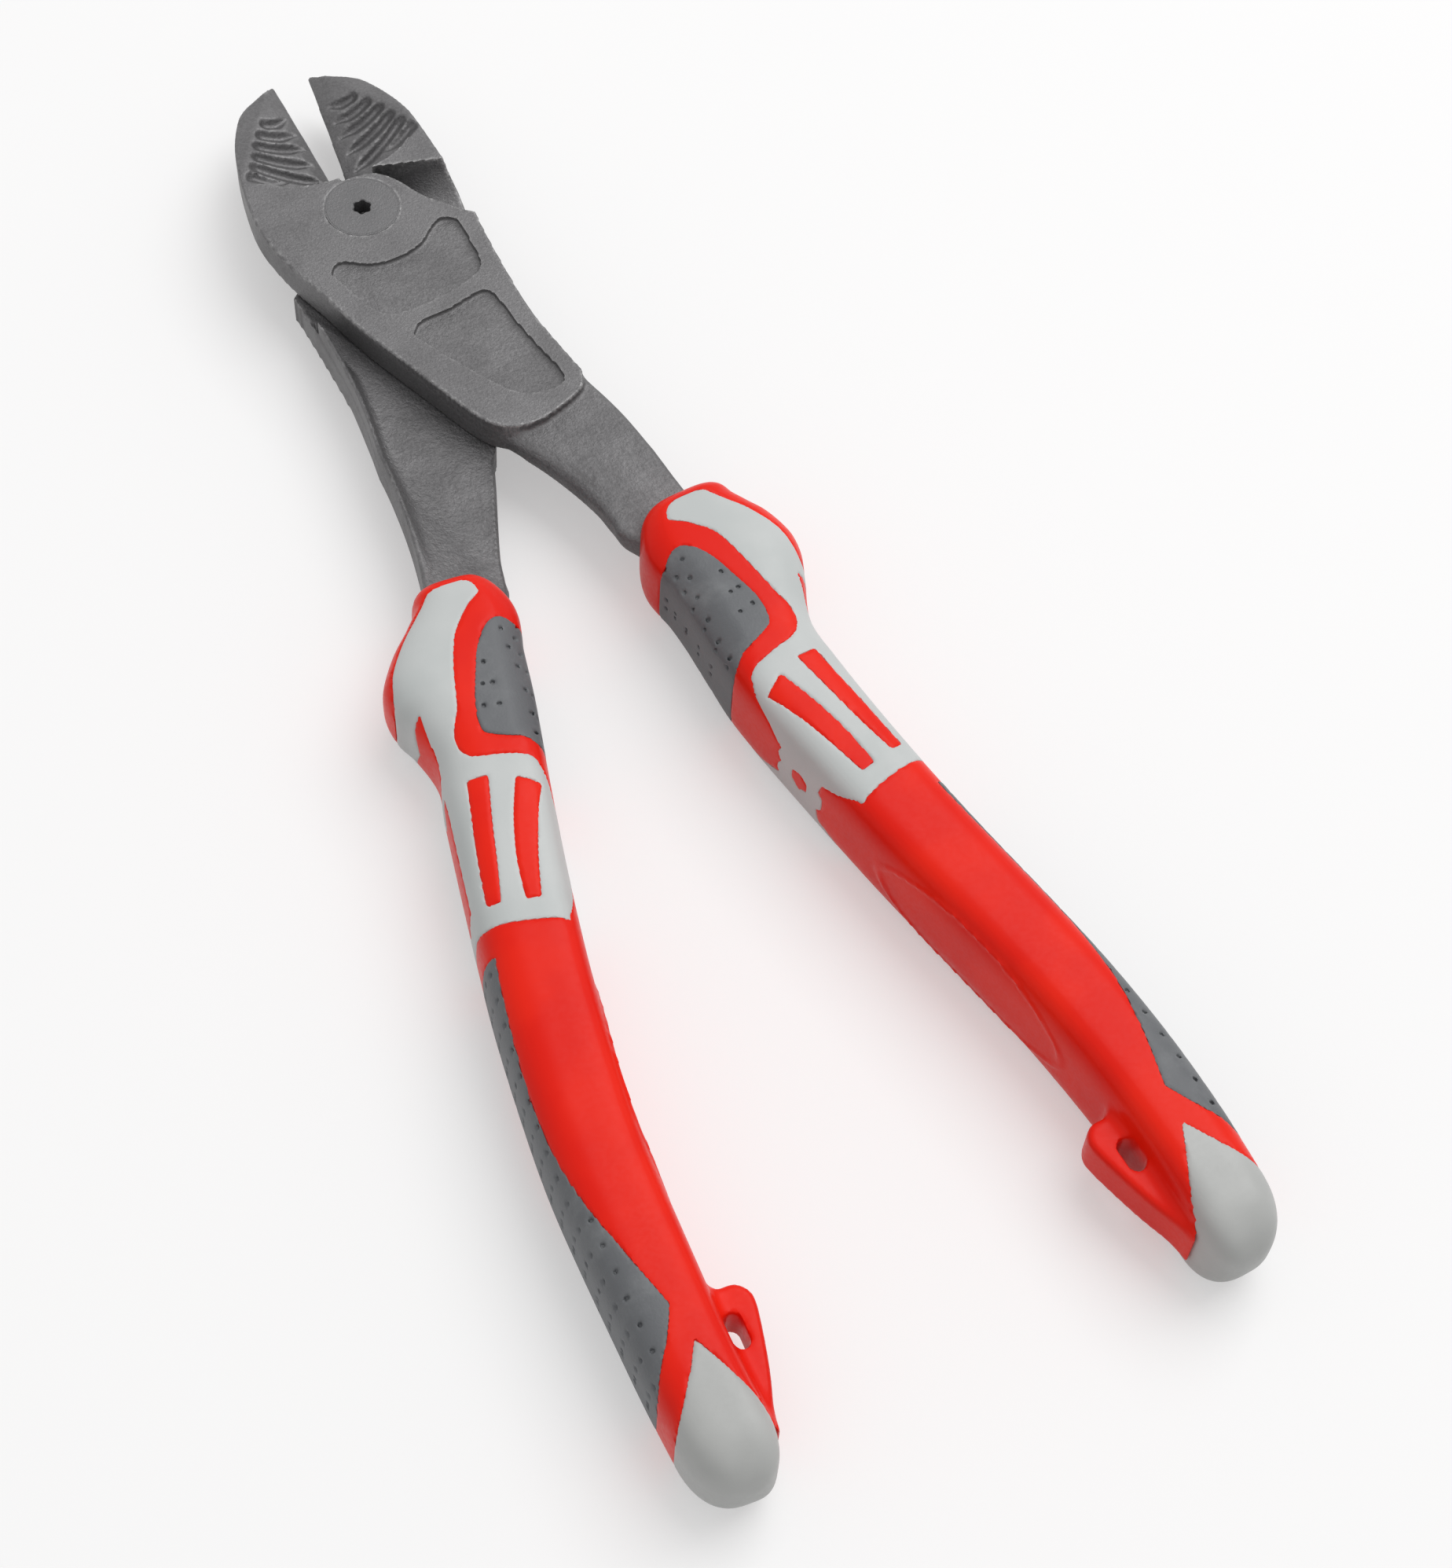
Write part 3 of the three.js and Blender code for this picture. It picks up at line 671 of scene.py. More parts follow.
@dataclass(frozen=True)
class Moulding(Finish):
    """A moulded plastic: one colour with faint flow clouding and a satin skin."""

    shade: Colour = colour(245, 38, 18)
    cloud: Colour = colour(236, 30, 15)
    roughness: float = 0.34
    shine: float = 0.15
    grain: float = 0.03

    def dress(self, graph: Graph) -> None:
        """Blends the two shades by broad noise and adds the skin's fine unevenness as bump.

        Args:
            graph: The finish's empty node tree.
        """
        drift = graph.between(graph.noise(14, 3, 0.5), 0.35, 0.65)
        skin = graph.noise(0.6, 3, 0.5)
        waves = graph.noise(5, 1, 0.4)
        low, high = self.roughness - 0.04, self.roughness + 0.06
        graph.finish({
            "Base Color": graph.blend(drift, self.cloud, self.shade),
            "Roughness": graph.between(skin, 0.3, 0.7, low, high),
            "Specular IOR Level": self.shine,
            "Normal": graph.bump(skin * 0.3 + waves, self.grain),
        })


@dataclass(frozen=True)
class SoftPad(Finish):
    """A soft grey pad: matte and slightly dusty."""

    shade: Colour = colour(98, 100, 103)
    dust: Colour = colour(122, 124, 126)
    gloss: tuple[float, float] = (0.5, 0.66)
    grain: float = 0.05

    def dress(self, graph: Graph) -> None:
        """Lays pale dust over the grey by noise and a fine leather-like bump.

        Args:
            graph: The finish's empty node tree.
        """
        dust = graph.between(graph.noise(6, 5, 0.65), 0.45, 0.8)
        skin = graph.noise(0.4, 3, 0.6)
        graph.finish({
            "Base Color": graph.blend(dust, self.shade, self.dust),
            "Roughness": graph.between(dust, 0, 1, *self.gloss),
            "Normal": graph.bump(skin, self.grain),
        })


STEEL = ForgedSteel("blackened steel")
BOLT_STEEL = ForgedSteel("turned steel", colour(110, 109, 110), colour(94, 94, 95))
RED = Moulding("red grip")
WHITE = Moulding("white sleeve", colour(203, 206, 205), colour(196, 200, 199), 0.4, 0.4)
CAP_WHITE = Moulding("white cap", colour(190, 191, 189), colour(181, 182, 180), 0.42, 0.4)
PAD = SoftPad("grey pad")


# ---- Placing -----------------------------------------------------------------------------------
class Side(Enum):
    """The two halves: the front one has the right handle, the rear one the left."""

    RIGHT = 1
    LEFT = -1

    @property
    def word(self) -> str:
        """The side in lower case."""
        return self.name.lower()

    @property
    def body(self) -> str:
        """The moving body that the half belongs to."""
        return "front" if self is Side.RIGHT else "rear"

    @property
    def half(self) -> str:
        """The half's node."""
        return f"{self.body}_half"


@dataclass(frozen=True)
class Pivot:
    """The joint: where its axis stands and how far the jaws are open."""

    centre: tuple[float, float, float]
    opening: float = 8.7

    def place(self, shell: Shell, side: Side) -> Shell:
        """Moves a closed half's surface to where it lies in the open tool.

        The rear half is the front one turned over about Y, and each half turns by half the
        opening about the pivot.

        Args:
            shell: The surface, in the half's closed frame.
            side: Which half it belongs to.

        Returns:
            The surface in the tool's frame.
        """
        turn = math.radians(self.opening / 2) * side.value
        flip = np.array([side.value, 1, side.value])
        c, s = math.cos(turn), math.sin(turn)
        spin = np.array([[c, -s, 0], [s, c, 0], [0, 0, 1]])
        return Shell((shell.points * flip) @ spin.T + np.array(self.centre), shell.faces)


@dataclass(frozen=True)
class CentreLine:
    """The line that the closed tool follows, which wanders to the right of a straight one.

    Each row is a distance below the pivot and how far the line is to the right there, seen from
    the front. In a half's own closed frame the line goes the way of its side.
    """

    rows: tuple[tuple[float, float], ...] = (
        (-33, 1), (-20, 0.5), (-7, 0), (0, 0.3), (10, 0.4), (20, 0.6), (30, 0.9), (36, 1.15),
        (44, 1.5), (49, 2.1), (54, 2.5), (60, 2.6), (65, 2.5), (70.3, 2.3), (88, 1.5),
        (105, -0.1), (133, -0.7), (154, 0.1), (181, 1.7), (209, 2.3),
    )

    def shift(self, side: Side, y: Array) -> Array:
        """How far a half's own points at some y are moved sideways."""
        return side.value * along(list(self.rows), -y)


CENTRE_LINE = CentreLine()


def mount(piece: bpy.types.Object, body: str, node: str) -> None:
    """Lets a piece ride on a body in place of its node.

    Args:
        piece: The piece.
        body: The moving body that it rides on.
        node: The node that it replaces.
    """
    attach(piece, body)
    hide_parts(node)
    LOG.info("%s rides on %s: %d faces", piece.name, body, len(piece.data.polygons))


# ---- The grips' shape --------------------------------------------------------------------------
class Line(Enum):
    """How a part of an outline runs through its points."""

    STRAIGHT = 0
    SMOOTH = 1


# Outlines on the grips' faces, in parts of (share of length, share of width) pairs.
Outline = list[tuple[Line, Pairs]]

# The white sleeve's upper edge, and its edge beside the thumb rest, which differ by side.
SLEEVE_HEAD = {
    Side.RIGHT: [(0.036, 0.24), (0.024, 0.26), (0.017, 0.34), (0.016, 0.5), (0.018, 0.66),
                 (0.03, 0.735), (0.06, 0.815), (0.092, 0.87), (0.117, 0.91), (0.133, 0.95),
                 (0.143, 1.0)],
    Side.LEFT: [(0.036, 0.27), (0.022, 0.3), (0.016, 0.39), (0.016, 0.58), (0.018, 0.79),
                (0.03, 0.86), (0.06, 0.9), (0.092, 0.915), (0.117, 0.95), (0.133, 1.0),
                (0.143, 1.05)],
}
SLEEVE_NECK = {
    Side.RIGHT: [(0.115, 0.51), (0.075, 0.47), (0.048, 0.37)],
    Side.LEFT: [(0.115, 0.51), (0.075, 0.48), (0.048, 0.4)],
}
SLEEVE: dict[Side, Outline] = {
    side: [
        (Line.SMOOTH, SLEEVE_HEAD[side]),
        (Line.STRAIGHT, [(0.145, 1.4), (0.426, 1.4)]),
        (Line.SMOOTH, [(0.4, 1.04), (0.405, 0.92), (0.411, 0.6), (0.419, 0.26), (0.425, 0.12)]),
        (Line.STRAIGHT, [(0.432, -0.05), (0.432, -0.5), (0.22, -0.5)]),
        (Line.SMOOTH, [(0.238, -0.03), (0.244, 0.08), (0.236, 0.18), (0.227, 0.44),
                       (0.221, 0.67), (0.208, 0.78), (0.189, 0.775), (0.16, 0.64),
                       *SLEEVE_NECK[side]]),
    ]
    for side in Side
}
WINDOWS: list[Outline] = [
    [(Line.SMOOTH, [(0.272, 0.13), (0.305, 0.215), (0.35, 0.29), (0.391, 0.34)]),
     (Line.SMOOTH, [(0.389, 0.455), (0.345, 0.455), (0.3, 0.405), (0.259, 0.32)])],
    [(Line.SMOOTH, [(0.248, 0.59), (0.3, 0.64), (0.345, 0.675), (0.383, 0.72)]),
     (Line.SMOOTH, [(0.382, 0.82), (0.33, 0.805), (0.28, 0.775), (0.247, 0.755)])],
]
# Round the inner side, beside the thumb rest.
UPPER_PAD: Outline = [
    (Line.STRAIGHT, [(0.083, -0.5)]),
    (Line.SMOOTH, [(0.084, -0.07), (0.08, 0.03), (0.072, 0.12), (0.07, 0.2), (0.079, 0.275),
                   (0.1, 0.33), (0.127, 0.39), (0.16, 0.5), (0.184, 0.55), (0.197, 0.54),
                   (0.203, 0.47), (0.21, 0.33), (0.216, 0.18), (0.226, 0.06), (0.232, -0.02)]),
    (Line.STRAIGHT, [(0.24, -0.5)]),
]
# Along the outer side, down to a point beside the end cap.
LOWER_PAD: Outline = [
    (Line.STRAIGHT, [(0.438, 1.5)]),
    (Line.SMOOTH, [(0.434, 0.86), (0.473, 0.88), (0.55, 0.91), (0.631, 0.9), (0.7, 0.82),
                   (0.765, 0.66), (0.826, 0.475)]),
    (Line.SMOOTH, [(0.826, 0.475), (0.855, 0.64), (0.88, 0.83), (0.925, 1.15), (0.935, 1.5)]),
]
# The handle's end, drawn up to a point on both faces.
END_CAP: Outline = [
    (Line.STRAIGHT, [(1.1, -2), (0.99, -0.8)]),
    (Line.SMOOTH, [(0.975, -0.3), (0.957, -0.02), (0.927, 0.08), (0.894, 0.24), (0.864, 0.39)]),
    (Line.SMOOTH, [(0.864, 0.41), (0.888, 0.57), (0.916, 0.79), (0.945, 1.05)]),
    (Line.STRAIGHT, [(0.97, 1.6), (1.1, 2)]),
]


@dataclass(frozen=True)
class WallCut:
    """A cut in the sleeve where it runs over a wall, alike above and below the middle.

    Its side runs from its highest corner to the middle, in (share of length, height) pairs, and
    comes back mirrored; the cut closes at start, a share of the length on the middle.
    """

    outer: bool
    side: Pairs
    start: float


WALL_CUTS = [
    WallCut(True, [(0.15, 6.5), (0.165, 5.7), (0.181, 4.9), (0.214, 3.6), (0.232, 0)], 0.167),
    WallCut(True, [(0.238, 3.7), (0.261, 4.2), (0.323, 4.3), (0.372, 4.1), (0.38, 0)], 0.262),
    WallCut(False, [(0.15, 9.5), (0.238, 8.3), (0.245, 7.5), (0.262, 6.4), (0.29, 5.1),
                    (0.312, 3.2), (0.309, 1.6), (0.314, 0)], 0.15),
    WallCut(False, [(0.5, 9), (0.43, 8.3), (0.425, 8), (0.397, 5.7), (0.377, 4.5), (0.373, 2.2),
                    (0.38, 1.4), (0.381, 0)], 0.5),
]


@dataclass(frozen=True)
class GripShape:
    """The outer form of one grip and its regions, in the closed frame of its half.

    A section is square to the powers in squareness on its inner and outer side. The two ends
    close over head_length and foot_length, the upper one up to head_over above the rim. The
    slant cuts the edges between the faces and the inner wall: it holds the parts of its normal
    across and up, how far out it lies, and how much farther out below the thumb rest.
    """

    side: Side
    top: float = 70.3
    end: float = 209.15
    width: float = 13.6
    thumb_width: float = 21.0
    thickness: float = 17.28
    offset: float = 10.2
    skin: float = 1.8
    lap: float = 0.2
    squareness: tuple[float, float] = (4.2, 3.0)
    head_length: float = 3.6
    head_over: float = 0.7
    foot_length: float = 8.5
    closing: float = 2.4
    slant: tuple[float, float, float, float] = (0.6, 0.8, 4.75, 3.0)
    slant_round: float = 0.7

    @property
    def length(self) -> float:
        """From the grip's top rim to the handle's end."""
        return self.end - self.top

    def straight_inner(self, at: Array) -> Array:
        """The inner side's x at shares of the length, before the centre line bends it.

        Args:
            at: Shares of the length.

        Returns:
            The x of the inner side.
        """
        table = [(0, -0.2), (0.035, -0.39), (0.062, -0.44), (0.1, -0.37), (0.178, -0.31),
                 (0.243, -0.245), (0.36, -0.07), (0.5, 0.13), (0.645, 0.32), (0.74, 0.38),
                 (0.85, 0.4), (0.92, 0.37), (1, 0.3)]
        return self.offset + self.width * along(table, at)

    def inner(self, at: Array) -> Array:
        """The inner side's x at shares of the length."""
        return self.straight_inner(at) + CENTRE_LINE.shift(self.side, self.place(at))

    def across(self, at: Array) -> Array:
        """The width at shares of the length, with the thumb rest's bulge near the top.

        Args:
            at: Shares of the length.

        Returns:
            The widths.
        """
        if self.side is Side.RIGHT:
            rest = [(0, 1.02), (0.02, 1.15), (0.04, 1.36), (0.062, 1.53), (0.092, 1.56),
                    (0.12, 1.51)]
        else:
            rest = [(0, 0.84), (0.02, 0.94), (0.04, 1.18), (0.062, 1.42), (0.085, 1.535),
                    (0.105, 1.57), (0.13, 1.5)]
        handle = [(0.15, 1.37), (0.2, 1.15), (0.25, 1.13), (0.36, 1.08), (0.5, 1.045),
                  (0.645, 1.0), (0.74, 0.97), (0.85, 0.925), (0.92, 0.905), (1, 0.89)]
        # Where the table goes beyond the plain width it is stretched, so that most of it gives the
        # thumb rest's width.
        plain, most = 1.05, 1.56
        share = along(rest + handle, at)
        thumb = self.thumb_width / self.width - plain
        bulge = np.maximum(share - plain, 0) / (most - plain) * thumb
        return self.width * (np.minimum(share, plain) + bulge)

    def thick(self, at: Array) -> Array:
        """The thickness at shares of the length."""
        table = [(0, 0.93), (0.03, 0.96), (0.1, 1), (0.2, 0.99), (0.5, 0.99), (0.8, 1),
                 (0.92, 0.99), (1, 0.96)]
        return self.thickness * along(table, at)

    def share(self, y: Array) -> Array:
        """A place along the handle as a share of the grip's length."""
        return (-y - self.top) / self.length

    def place(self, at: Array) -> Array:
        """The y of a share of the grip's length."""
        return -(self.top + at * self.length)

    def plan(self, shares: Pairs) -> Array:
        """Turns (share of length, share of width) pairs into plan points."""
        at, out = np.array(shares, float).T
        inside = np.clip(at, 0, 1)
        return np.stack([self.inner(inside) + out * self.across(inside), self.place(at)], axis=1)

    def region(self, block: Block, outline: Outline) -> Array:
        """Where a moulding shows on the faces.

        Args:
            block: The sample points.
            outline: Its outline.

        Returns:
            A field, negative where it shows.
        """
        return block.plan(*(
            spline(self.plan(shares)) if line is Line.SMOOTH else self.plan(shares)
            for line, shares in outline
        ))

    def form(self, block: Block, inset: float = 0.0) -> Array:
        """The grip's whole form, drawn in on every side by an inset.

        A section is a superellipse, squarer on the inner side. At both ends the form closes as
        part of an ellipsoid: the section's reach and the share of the end's length are combined
        as the two sides of a right-angled triangle, to a power a little over 2.

        Args:
            block: The sample points.
            inset: How far the form is drawn in.

        Returns:
            The field.
        """
        at = self.share(block.y)
        inner, wide, thick = self.inner(at), self.across(at), self.thick(at)
        half, deep = wide / 2 - inset, thick / 2 - inset
        x = (block.x - inner - wide / 2) / half
        power = np.where(x < 0, *self.squareness)
        section = (np.abs(x) ** power + np.abs(block.z / deep) ** power) ** (1 / power)
        head, foot, closing = self.head_length, self.foot_length, self.closing
        above = block.y + self.top + head - self.head_over
        past_head = np.maximum(above, 0) / (head - 0.6 * inset)
        past_foot = np.maximum(-block.y - self.end + foot, 0) / (foot - inset)
        past = np.maximum(past_head, past_foot)
        reach = (section**closing + past**closing) ** (1 / closing)
        outward, upward, away, fading = self.slant
        faceted = np.interp(at, [0.2, 0.27], [0.0, fading])
        slant = outward * (inner - block.x) + upward * np.abs(block.z) - away + inset - faceted
        return both((reach - 1) * np.minimum(half, deep), slant, self.slant_round)


@dataclass(frozen=True)
class Pits:
    """A soft pad's round pits, on both faces and along one of the grip's walls.

    A pit on the faces is placed by shares of the length and the width, one on the wall by a share
    of the length and a height off the middle. Each has a radius (reach), a depth and a rim that is
    rounded. Those on the wall reach wall_depth in from it.
    """

    face: Pairs
    wall: Pairs
    outer: bool
    reach: float
    deep: float
    rim: float
    wall_depth: float = 2.5


UPPER_PITS = Pits(
    face=[(0.085, 0.155), (0.107, 0.118), (0.13, 0.09), (0.158, 0.08), (0.185, 0.07),
          (0.209, 0.07), (0.12, 0.316), (0.146, 0.315), (0.172, 0.328), (0.145, 0.386),
          (0.169, 0.45)],
    wall=[(0.08, 6.0), (0.096, 6.4), (0.115, 6.1), (0.136, 5.7), (0.163, 5.6), (0.189, 5.4),
          (0.213, 5.5), (0.093, 1.1), (0.11, 0.6), (0.132, 0.4), (0.159, 0.9), (0.186, 1.0)],
    outer=False, reach=0.32, deep=0.5, rim=0.08,
)
PIT_ROWS = [0.448 + 0.02745 * step for step in range(17)]
LOWER_PITS = Pits(
    face=[(place, 0.82) for place in PIT_ROWS[9:16]],
    wall=[(place, height) for place in PIT_ROWS for height in (5.6, 3.2, 0.6)],
    outer=True, reach=0.34, deep=0.35, rim=0.1,
)


@dataclass
class Grip:
    """One handle's grip: the red body with its tether eye, the sleeve, two pads and the end cap.

    Places are shares of the grip's length. The oval frame on the inner wall has half a length and
    half a height, and oval_line is both its line's half width and how far the line is raised. The
    mouldings stand raised above the body, with their seam's edges rounded. The sleeve's cuts in
    the inner wall reach wall_depth in, and stud_reach is half the hexagonal stud's width.
    """

    shape: GripShape
    pivot: Pivot
    pitch: float
    eye_reach: float = 5.2
    eye_thickness: float = 7.0
    eye_round: float = 0.8
    eye_fillet: float = 1.6
    eye_slot: tuple[float, float] = (2.5, 5.0)
    eye_place: float = 0.858
    oval: tuple[float, float] = (18.4, 6.6)
    oval_place: float = 0.604
    oval_line: float = 0.22
    seam: float = 0.12
    raised: float = 0.03
    rim: float = 0.3
    window_room: float = 0.2
    wall_depth: float = 1.5
    stud_place: float = 0.344
    stud_reach: float = 1.6
    core_gap: float = 0.05
    tang_foot: float = 29.7
    tang_height: float = 4.0
    tang_round: float = 0.8

    def block(
        self, first: float, last: float, pitch: float, x: tuple[float, float] | None = None
    ) -> Block:
        """Sample points round a stretch of the grip, given as shares of its length.

        Args:
            first: Where the stretch starts.
            last: Where it ends.
            pitch: The points' pitch.
            x: The range of x, in place of the grip's width with some room.

        Returns:
            The sample points.
        """
        side_room, face_room, end_room = 3, 1.5, 2
        at = np.linspace(max(first, 0), min(last, 1), 40)
        low = float(self.shape.inner(at).min()) - self.eye_reach - side_room
        high = float((self.shape.inner(at) + self.shape.across(at)).max()) + side_room
        low, high = x or (low, high)
        deep = self.shape.thickness / 2 + face_room
        start, end = self.shape.place(last) - end_room, self.shape.place(first) + end_room
        return Block((low, start, -deep), (high, end, deep), pitch)

    def sleeve_region(self, block: Block) -> Array:
        """Where the white sleeve shows: a thumb panel on both faces and a windowed collar.

        Args:
            block: The sample points.

        Returns:
            A field, negative where it shows.
        """
        shape = self.shape
        region = shape.region(block, SLEEVE[shape.side])
        for window in WINDOWS:
            region = without(region, shape.region(block, window) - self.window_room)
        at = shape.share(block.y)
        inner, wide = shape.inner(at), shape.across(at)
        outer_wall = inner + wide / 2 - block.x
        inner_wall = block.x - inner - self.wall_depth
        for cut in WALL_CUTS:
            back = [(place, -height) for place, height in cut.side[-2::-1]]
            rim = [*cut.side, *back, (cut.start, 0)]
            outline = np.array([(float(shape.place(place)), height) for place, height in rim])
            wall = outer_wall if cut.outer else inner_wall
            region = without(region, both(block.profile(outline), wall))
        # A hexagonal stud shows through in the inner wall: two of its sides lie across the handle,
        # the others at 60 degrees to them.
        along_y, up = np.abs(block.y - shape.place(self.stud_place)), np.abs(block.z)
        hexagon = np.maximum(along_y, along_y / 2 + up * 0.866) - self.stud_reach
        return without(region, both(hexagon, inner_wall))

    def hollowed(self, block: Block, pad: Array, pits: Pits) -> Array:
        """A soft pad with its pits sunk in it.

        Args:
            block: The sample points.
            pad: The pad's field.
            pits: Its pits.

        Returns:
            The field.
        """
        shape, far = self.shape, 9.0
        at = shape.share(block.y)
        from_inner = block.x - shape.inner(at)
        from_wall = shape.across(at) - from_inner if pits.outer else from_inner
        near = np.full(block.whole, far)
        for place, share in pits.face:
            x = from_inner - share * shape.across(np.array(place))
            near = np.minimum(near, np.hypot(x, block.y - shape.place(place)) + 0 * block.z)
        for place, height in pits.wall:
            spot = np.hypot(np.abs(block.z) - height, block.y - shape.place(place))
            near = np.minimum(near, np.where(from_wall < pits.wall_depth, spot, far))
        sunk = both(near - pits.reach, -(shape.form(block) + pits.deep))
        return without(pad, sunk, pits.rim)

    def skin(self, block: Block, region: Array) -> Array:
        """A moulding of the skin: the grip's form within a region, above the core."""
        outside = both(self.shape.form(block) - self.raised, region, self.seam)
        return without(outside, self.shape.form(block, self.shape.skin))

    def ear(self, block: Block) -> Array:
        """The ear on the inner side that holds the tether eye.

        Args:
            block: The sample points.

        Returns:
            The field.
        """
        shape = self.shape
        side = [(0.8, -0.8), (0.812, 0.1), (0.813, 0.6), (0.82, 0.88), (0.833, 1), (0.862, 0.87),
                (0.905, 0.55), (0.947, 0.12), (0.975, -0.1), (0.96, -0.8)]
        places = np.array([place for place, _ in side])
        reach = np.array([out for _, out in side]) * self.eye_reach
        outline = np.stack([shape.inner(places) - reach, shape.place(places)], axis=1)
        flat = np.abs(block.z) - self.eye_thickness / 2
        return both(block.plan(spline(outline, 4)), flat, self.eye_round)

    def body(self, pitch: float) -> Shell:
        """The red body: the form with the tether eye, cut away where the others lie.

        Args:
            pitch: The sample points' pitch.

        Returns:
            Its surface, where it lies in the open tool.
        """
        shape = self.shape
        block = self.block(0, 1, pitch)
        form = either(shape.form(block), self.ear(block), self.eye_fillet)
        at = shape.share(block.y)
        inner = shape.inner(at)
        region = self.sleeve_region(block)
        for outline in (UPPER_PAD, LOWER_PAD, END_CAP):
            region = np.minimum(region, shape.region(block, outline))
        # Each moulding is let into the body down to the core, and laps the pocket's rim a little.
        core = shape.form(block, shape.skin + self.core_gap)
        long, high = self.oval
        oval = np.hypot((block.y - shape.place(self.oval_place)) / long, block.z / high)
        ridge = both((np.abs(oval - 1) * high) - self.oval_line, block.x - inner - 3)
        form = either(form, both(form - self.oval_line, ridge, 0.1), self.seam)
        body = without(form, both(region + shape.lap, -core))
        wide, tall = self.eye_slot
        x = inner - wide / 2 - block.x
        y = np.maximum(np.abs(at - self.eye_place) * shape.length - (tall - wide) / 2, 0)
        slot = np.hypot(x, y) - wide / 2
        body = without(body, slot + 0 * block.z, self.rim)
        return self.pivot.place(block.shell(without(body, self.tang(block), self.rim)), shape.side)

    def tang(self, block: Block) -> Array:
        """The room for the forged tongue that runs down inside the grip.

        Args:
            block: The sample points.

        Returns:
            The field.
        """
        at = self.shape.share(block.y)
        inner, wide = self.shape.inner(at), self.shape.across(at)
        middle = inner + wide / 2
        half = np.interp(at, [0, 0.09, 0.25, 0.78], [5.2, 3.6, 3.1, 2.4])
        above_foot = self.tang_foot - self.shape.end - block.y
        flat = np.abs(block.z) - self.tang_height
        return both(both(np.abs(block.x - middle) - half, flat, self.tang_round), above_foot)

    def build(self) -> list[tuple[bpy.types.Object, str, str]]:
        """Makes the five mouldings.

        Returns:
            Each piece with its node and its material slot.
        """
        shape, pitch, word = self.shape, self.pitch, self.shape.side.word
        first, last, widest = 0.06, 0.26, 0.6
        at = np.linspace(first, last, 20)
        outward = float((shape.inner(at) + widest * shape.across(at)).max())
        upper = self.block(first, last, 0.7 * pitch, (float(shape.inner(at).min()) - 1, outward))
        # Each moulding's name, sample points, outline, finish and pits. The finer its details, the
        # closer the points.
        layout = [
            ("sleeve", self.block(0, 0.44, 0.8 * pitch), None, WHITE, None),
            ("upper_pad", upper, UPPER_PAD, PAD, UPPER_PITS),
            ("lower_pad", self.block(0.42, 0.95, 0.85 * pitch), LOWER_PAD, PAD, LOWER_PITS),
            ("end_cap", self.block(0.85, 1.0, pitch), END_CAP, CAP_WHITE, None),
        ]
        slots = {WHITE: "sleeve_white", PAD: "pad_grey", CAP_WHITE: "cap_white", RED: "grip_red"}
        made = [("grip_body", self.body(1.1 * pitch), RED)]
        for name, block, outline, finish, pits in layout:
            region = shape.region(block, outline) if outline else self.sleeve_region(block)
            depth = self.skin(block, region)
            if pits:
                depth = self.hollowed(block, depth, pits)
            surface = block.shell(depth).eased(block.pitch)
            made.append((name, self.pivot.place(surface, shape.side), finish))
        weld = 0.3 * pitch
        return [
            (shell.piece(f"{word}_{name}_moulding", finish, weld=weld), f"{word}_{name}",
             slots[finish])
            for name, shell, finish in made
        ]


# ---- The forged halves -------------------------------------------------------------------------
@dataclass(frozen=True)
class Radii:
    """The radii of a forging's edges and of the corners between its parts."""

    cheek: float = 0.3
    jaw: float = 0.45
    shoulder: float = 0.4
    shank: float = 1.1
    back: float = 0.8
    root: float = 0.45
    ramp: float = 0.8
    hollow: float = 1.5
    hollow_end: float = 3.0
    hollow_rim: float = 0.8
    lip: float = 0.2
    bevel_foot: float = 0.5
    bevel: float = 0.12
    nose: float = 0.2
    scoops: float = 0.08
    recess: float = 0.1
    seat: float = 0.06


@dataclass(frozen=True)
class Scoop:
    """The form of one cast scoop.

    It is depth deep and twice half wide, and its arc rises by bow. Its point lies by lead before
    its start, and it widens over the length of taper. Across it, the power of its parabola is
    roundness, and skew is how much steeper its upper wall is. Less than least deep it is left
    out, and scale turns a height above its floor into a distance.
    """

    depth: float = 1.15
    half: float = 1.3
    bow: float = 0.5
    lead: float = 0.6
    taper: float = 2.6
    roundness: float = 2.5
    skew: float = 0.6
    least: float = 0.02
    scale: float = 0.85

    def sink(self, block: Block, start: Array, end: Array) -> Array:
        """How deep the scoop between two plan points is, at every x and y.

        Args:
            block: The sample points.
            start: Where the scoop starts.
            end: Where its arc ends.

        Returns:
            Depths at every x and y, none outside the scoop.
        """
        length = float(np.linalg.norm(end - start))
        run = (end - start) / length
        out = (block.x - start[0]) * run[0] + (block.y - start[1]) * run[1]
        up = (block.y - start[1]) * -run[0] + (block.x - start[0]) * run[1]
        share = np.clip(out / length, 0, 1)
        up = up + self.bow * 4 * share * (1 - share)
        width = self.half * np.sqrt(np.clip((out + self.lead) / self.taper, 1e-4, 1))
        offset = np.hypot(up, np.maximum(out - length, 0)) / width
        skewed = 1 + self.skew * np.clip(up / width, -1, 1)
        section = np.maximum(1 - offset**self.roundness, 0) * (out > -self.lead)
        return self.depth * skewed * section * np.clip(width / self.half, 0, 1)


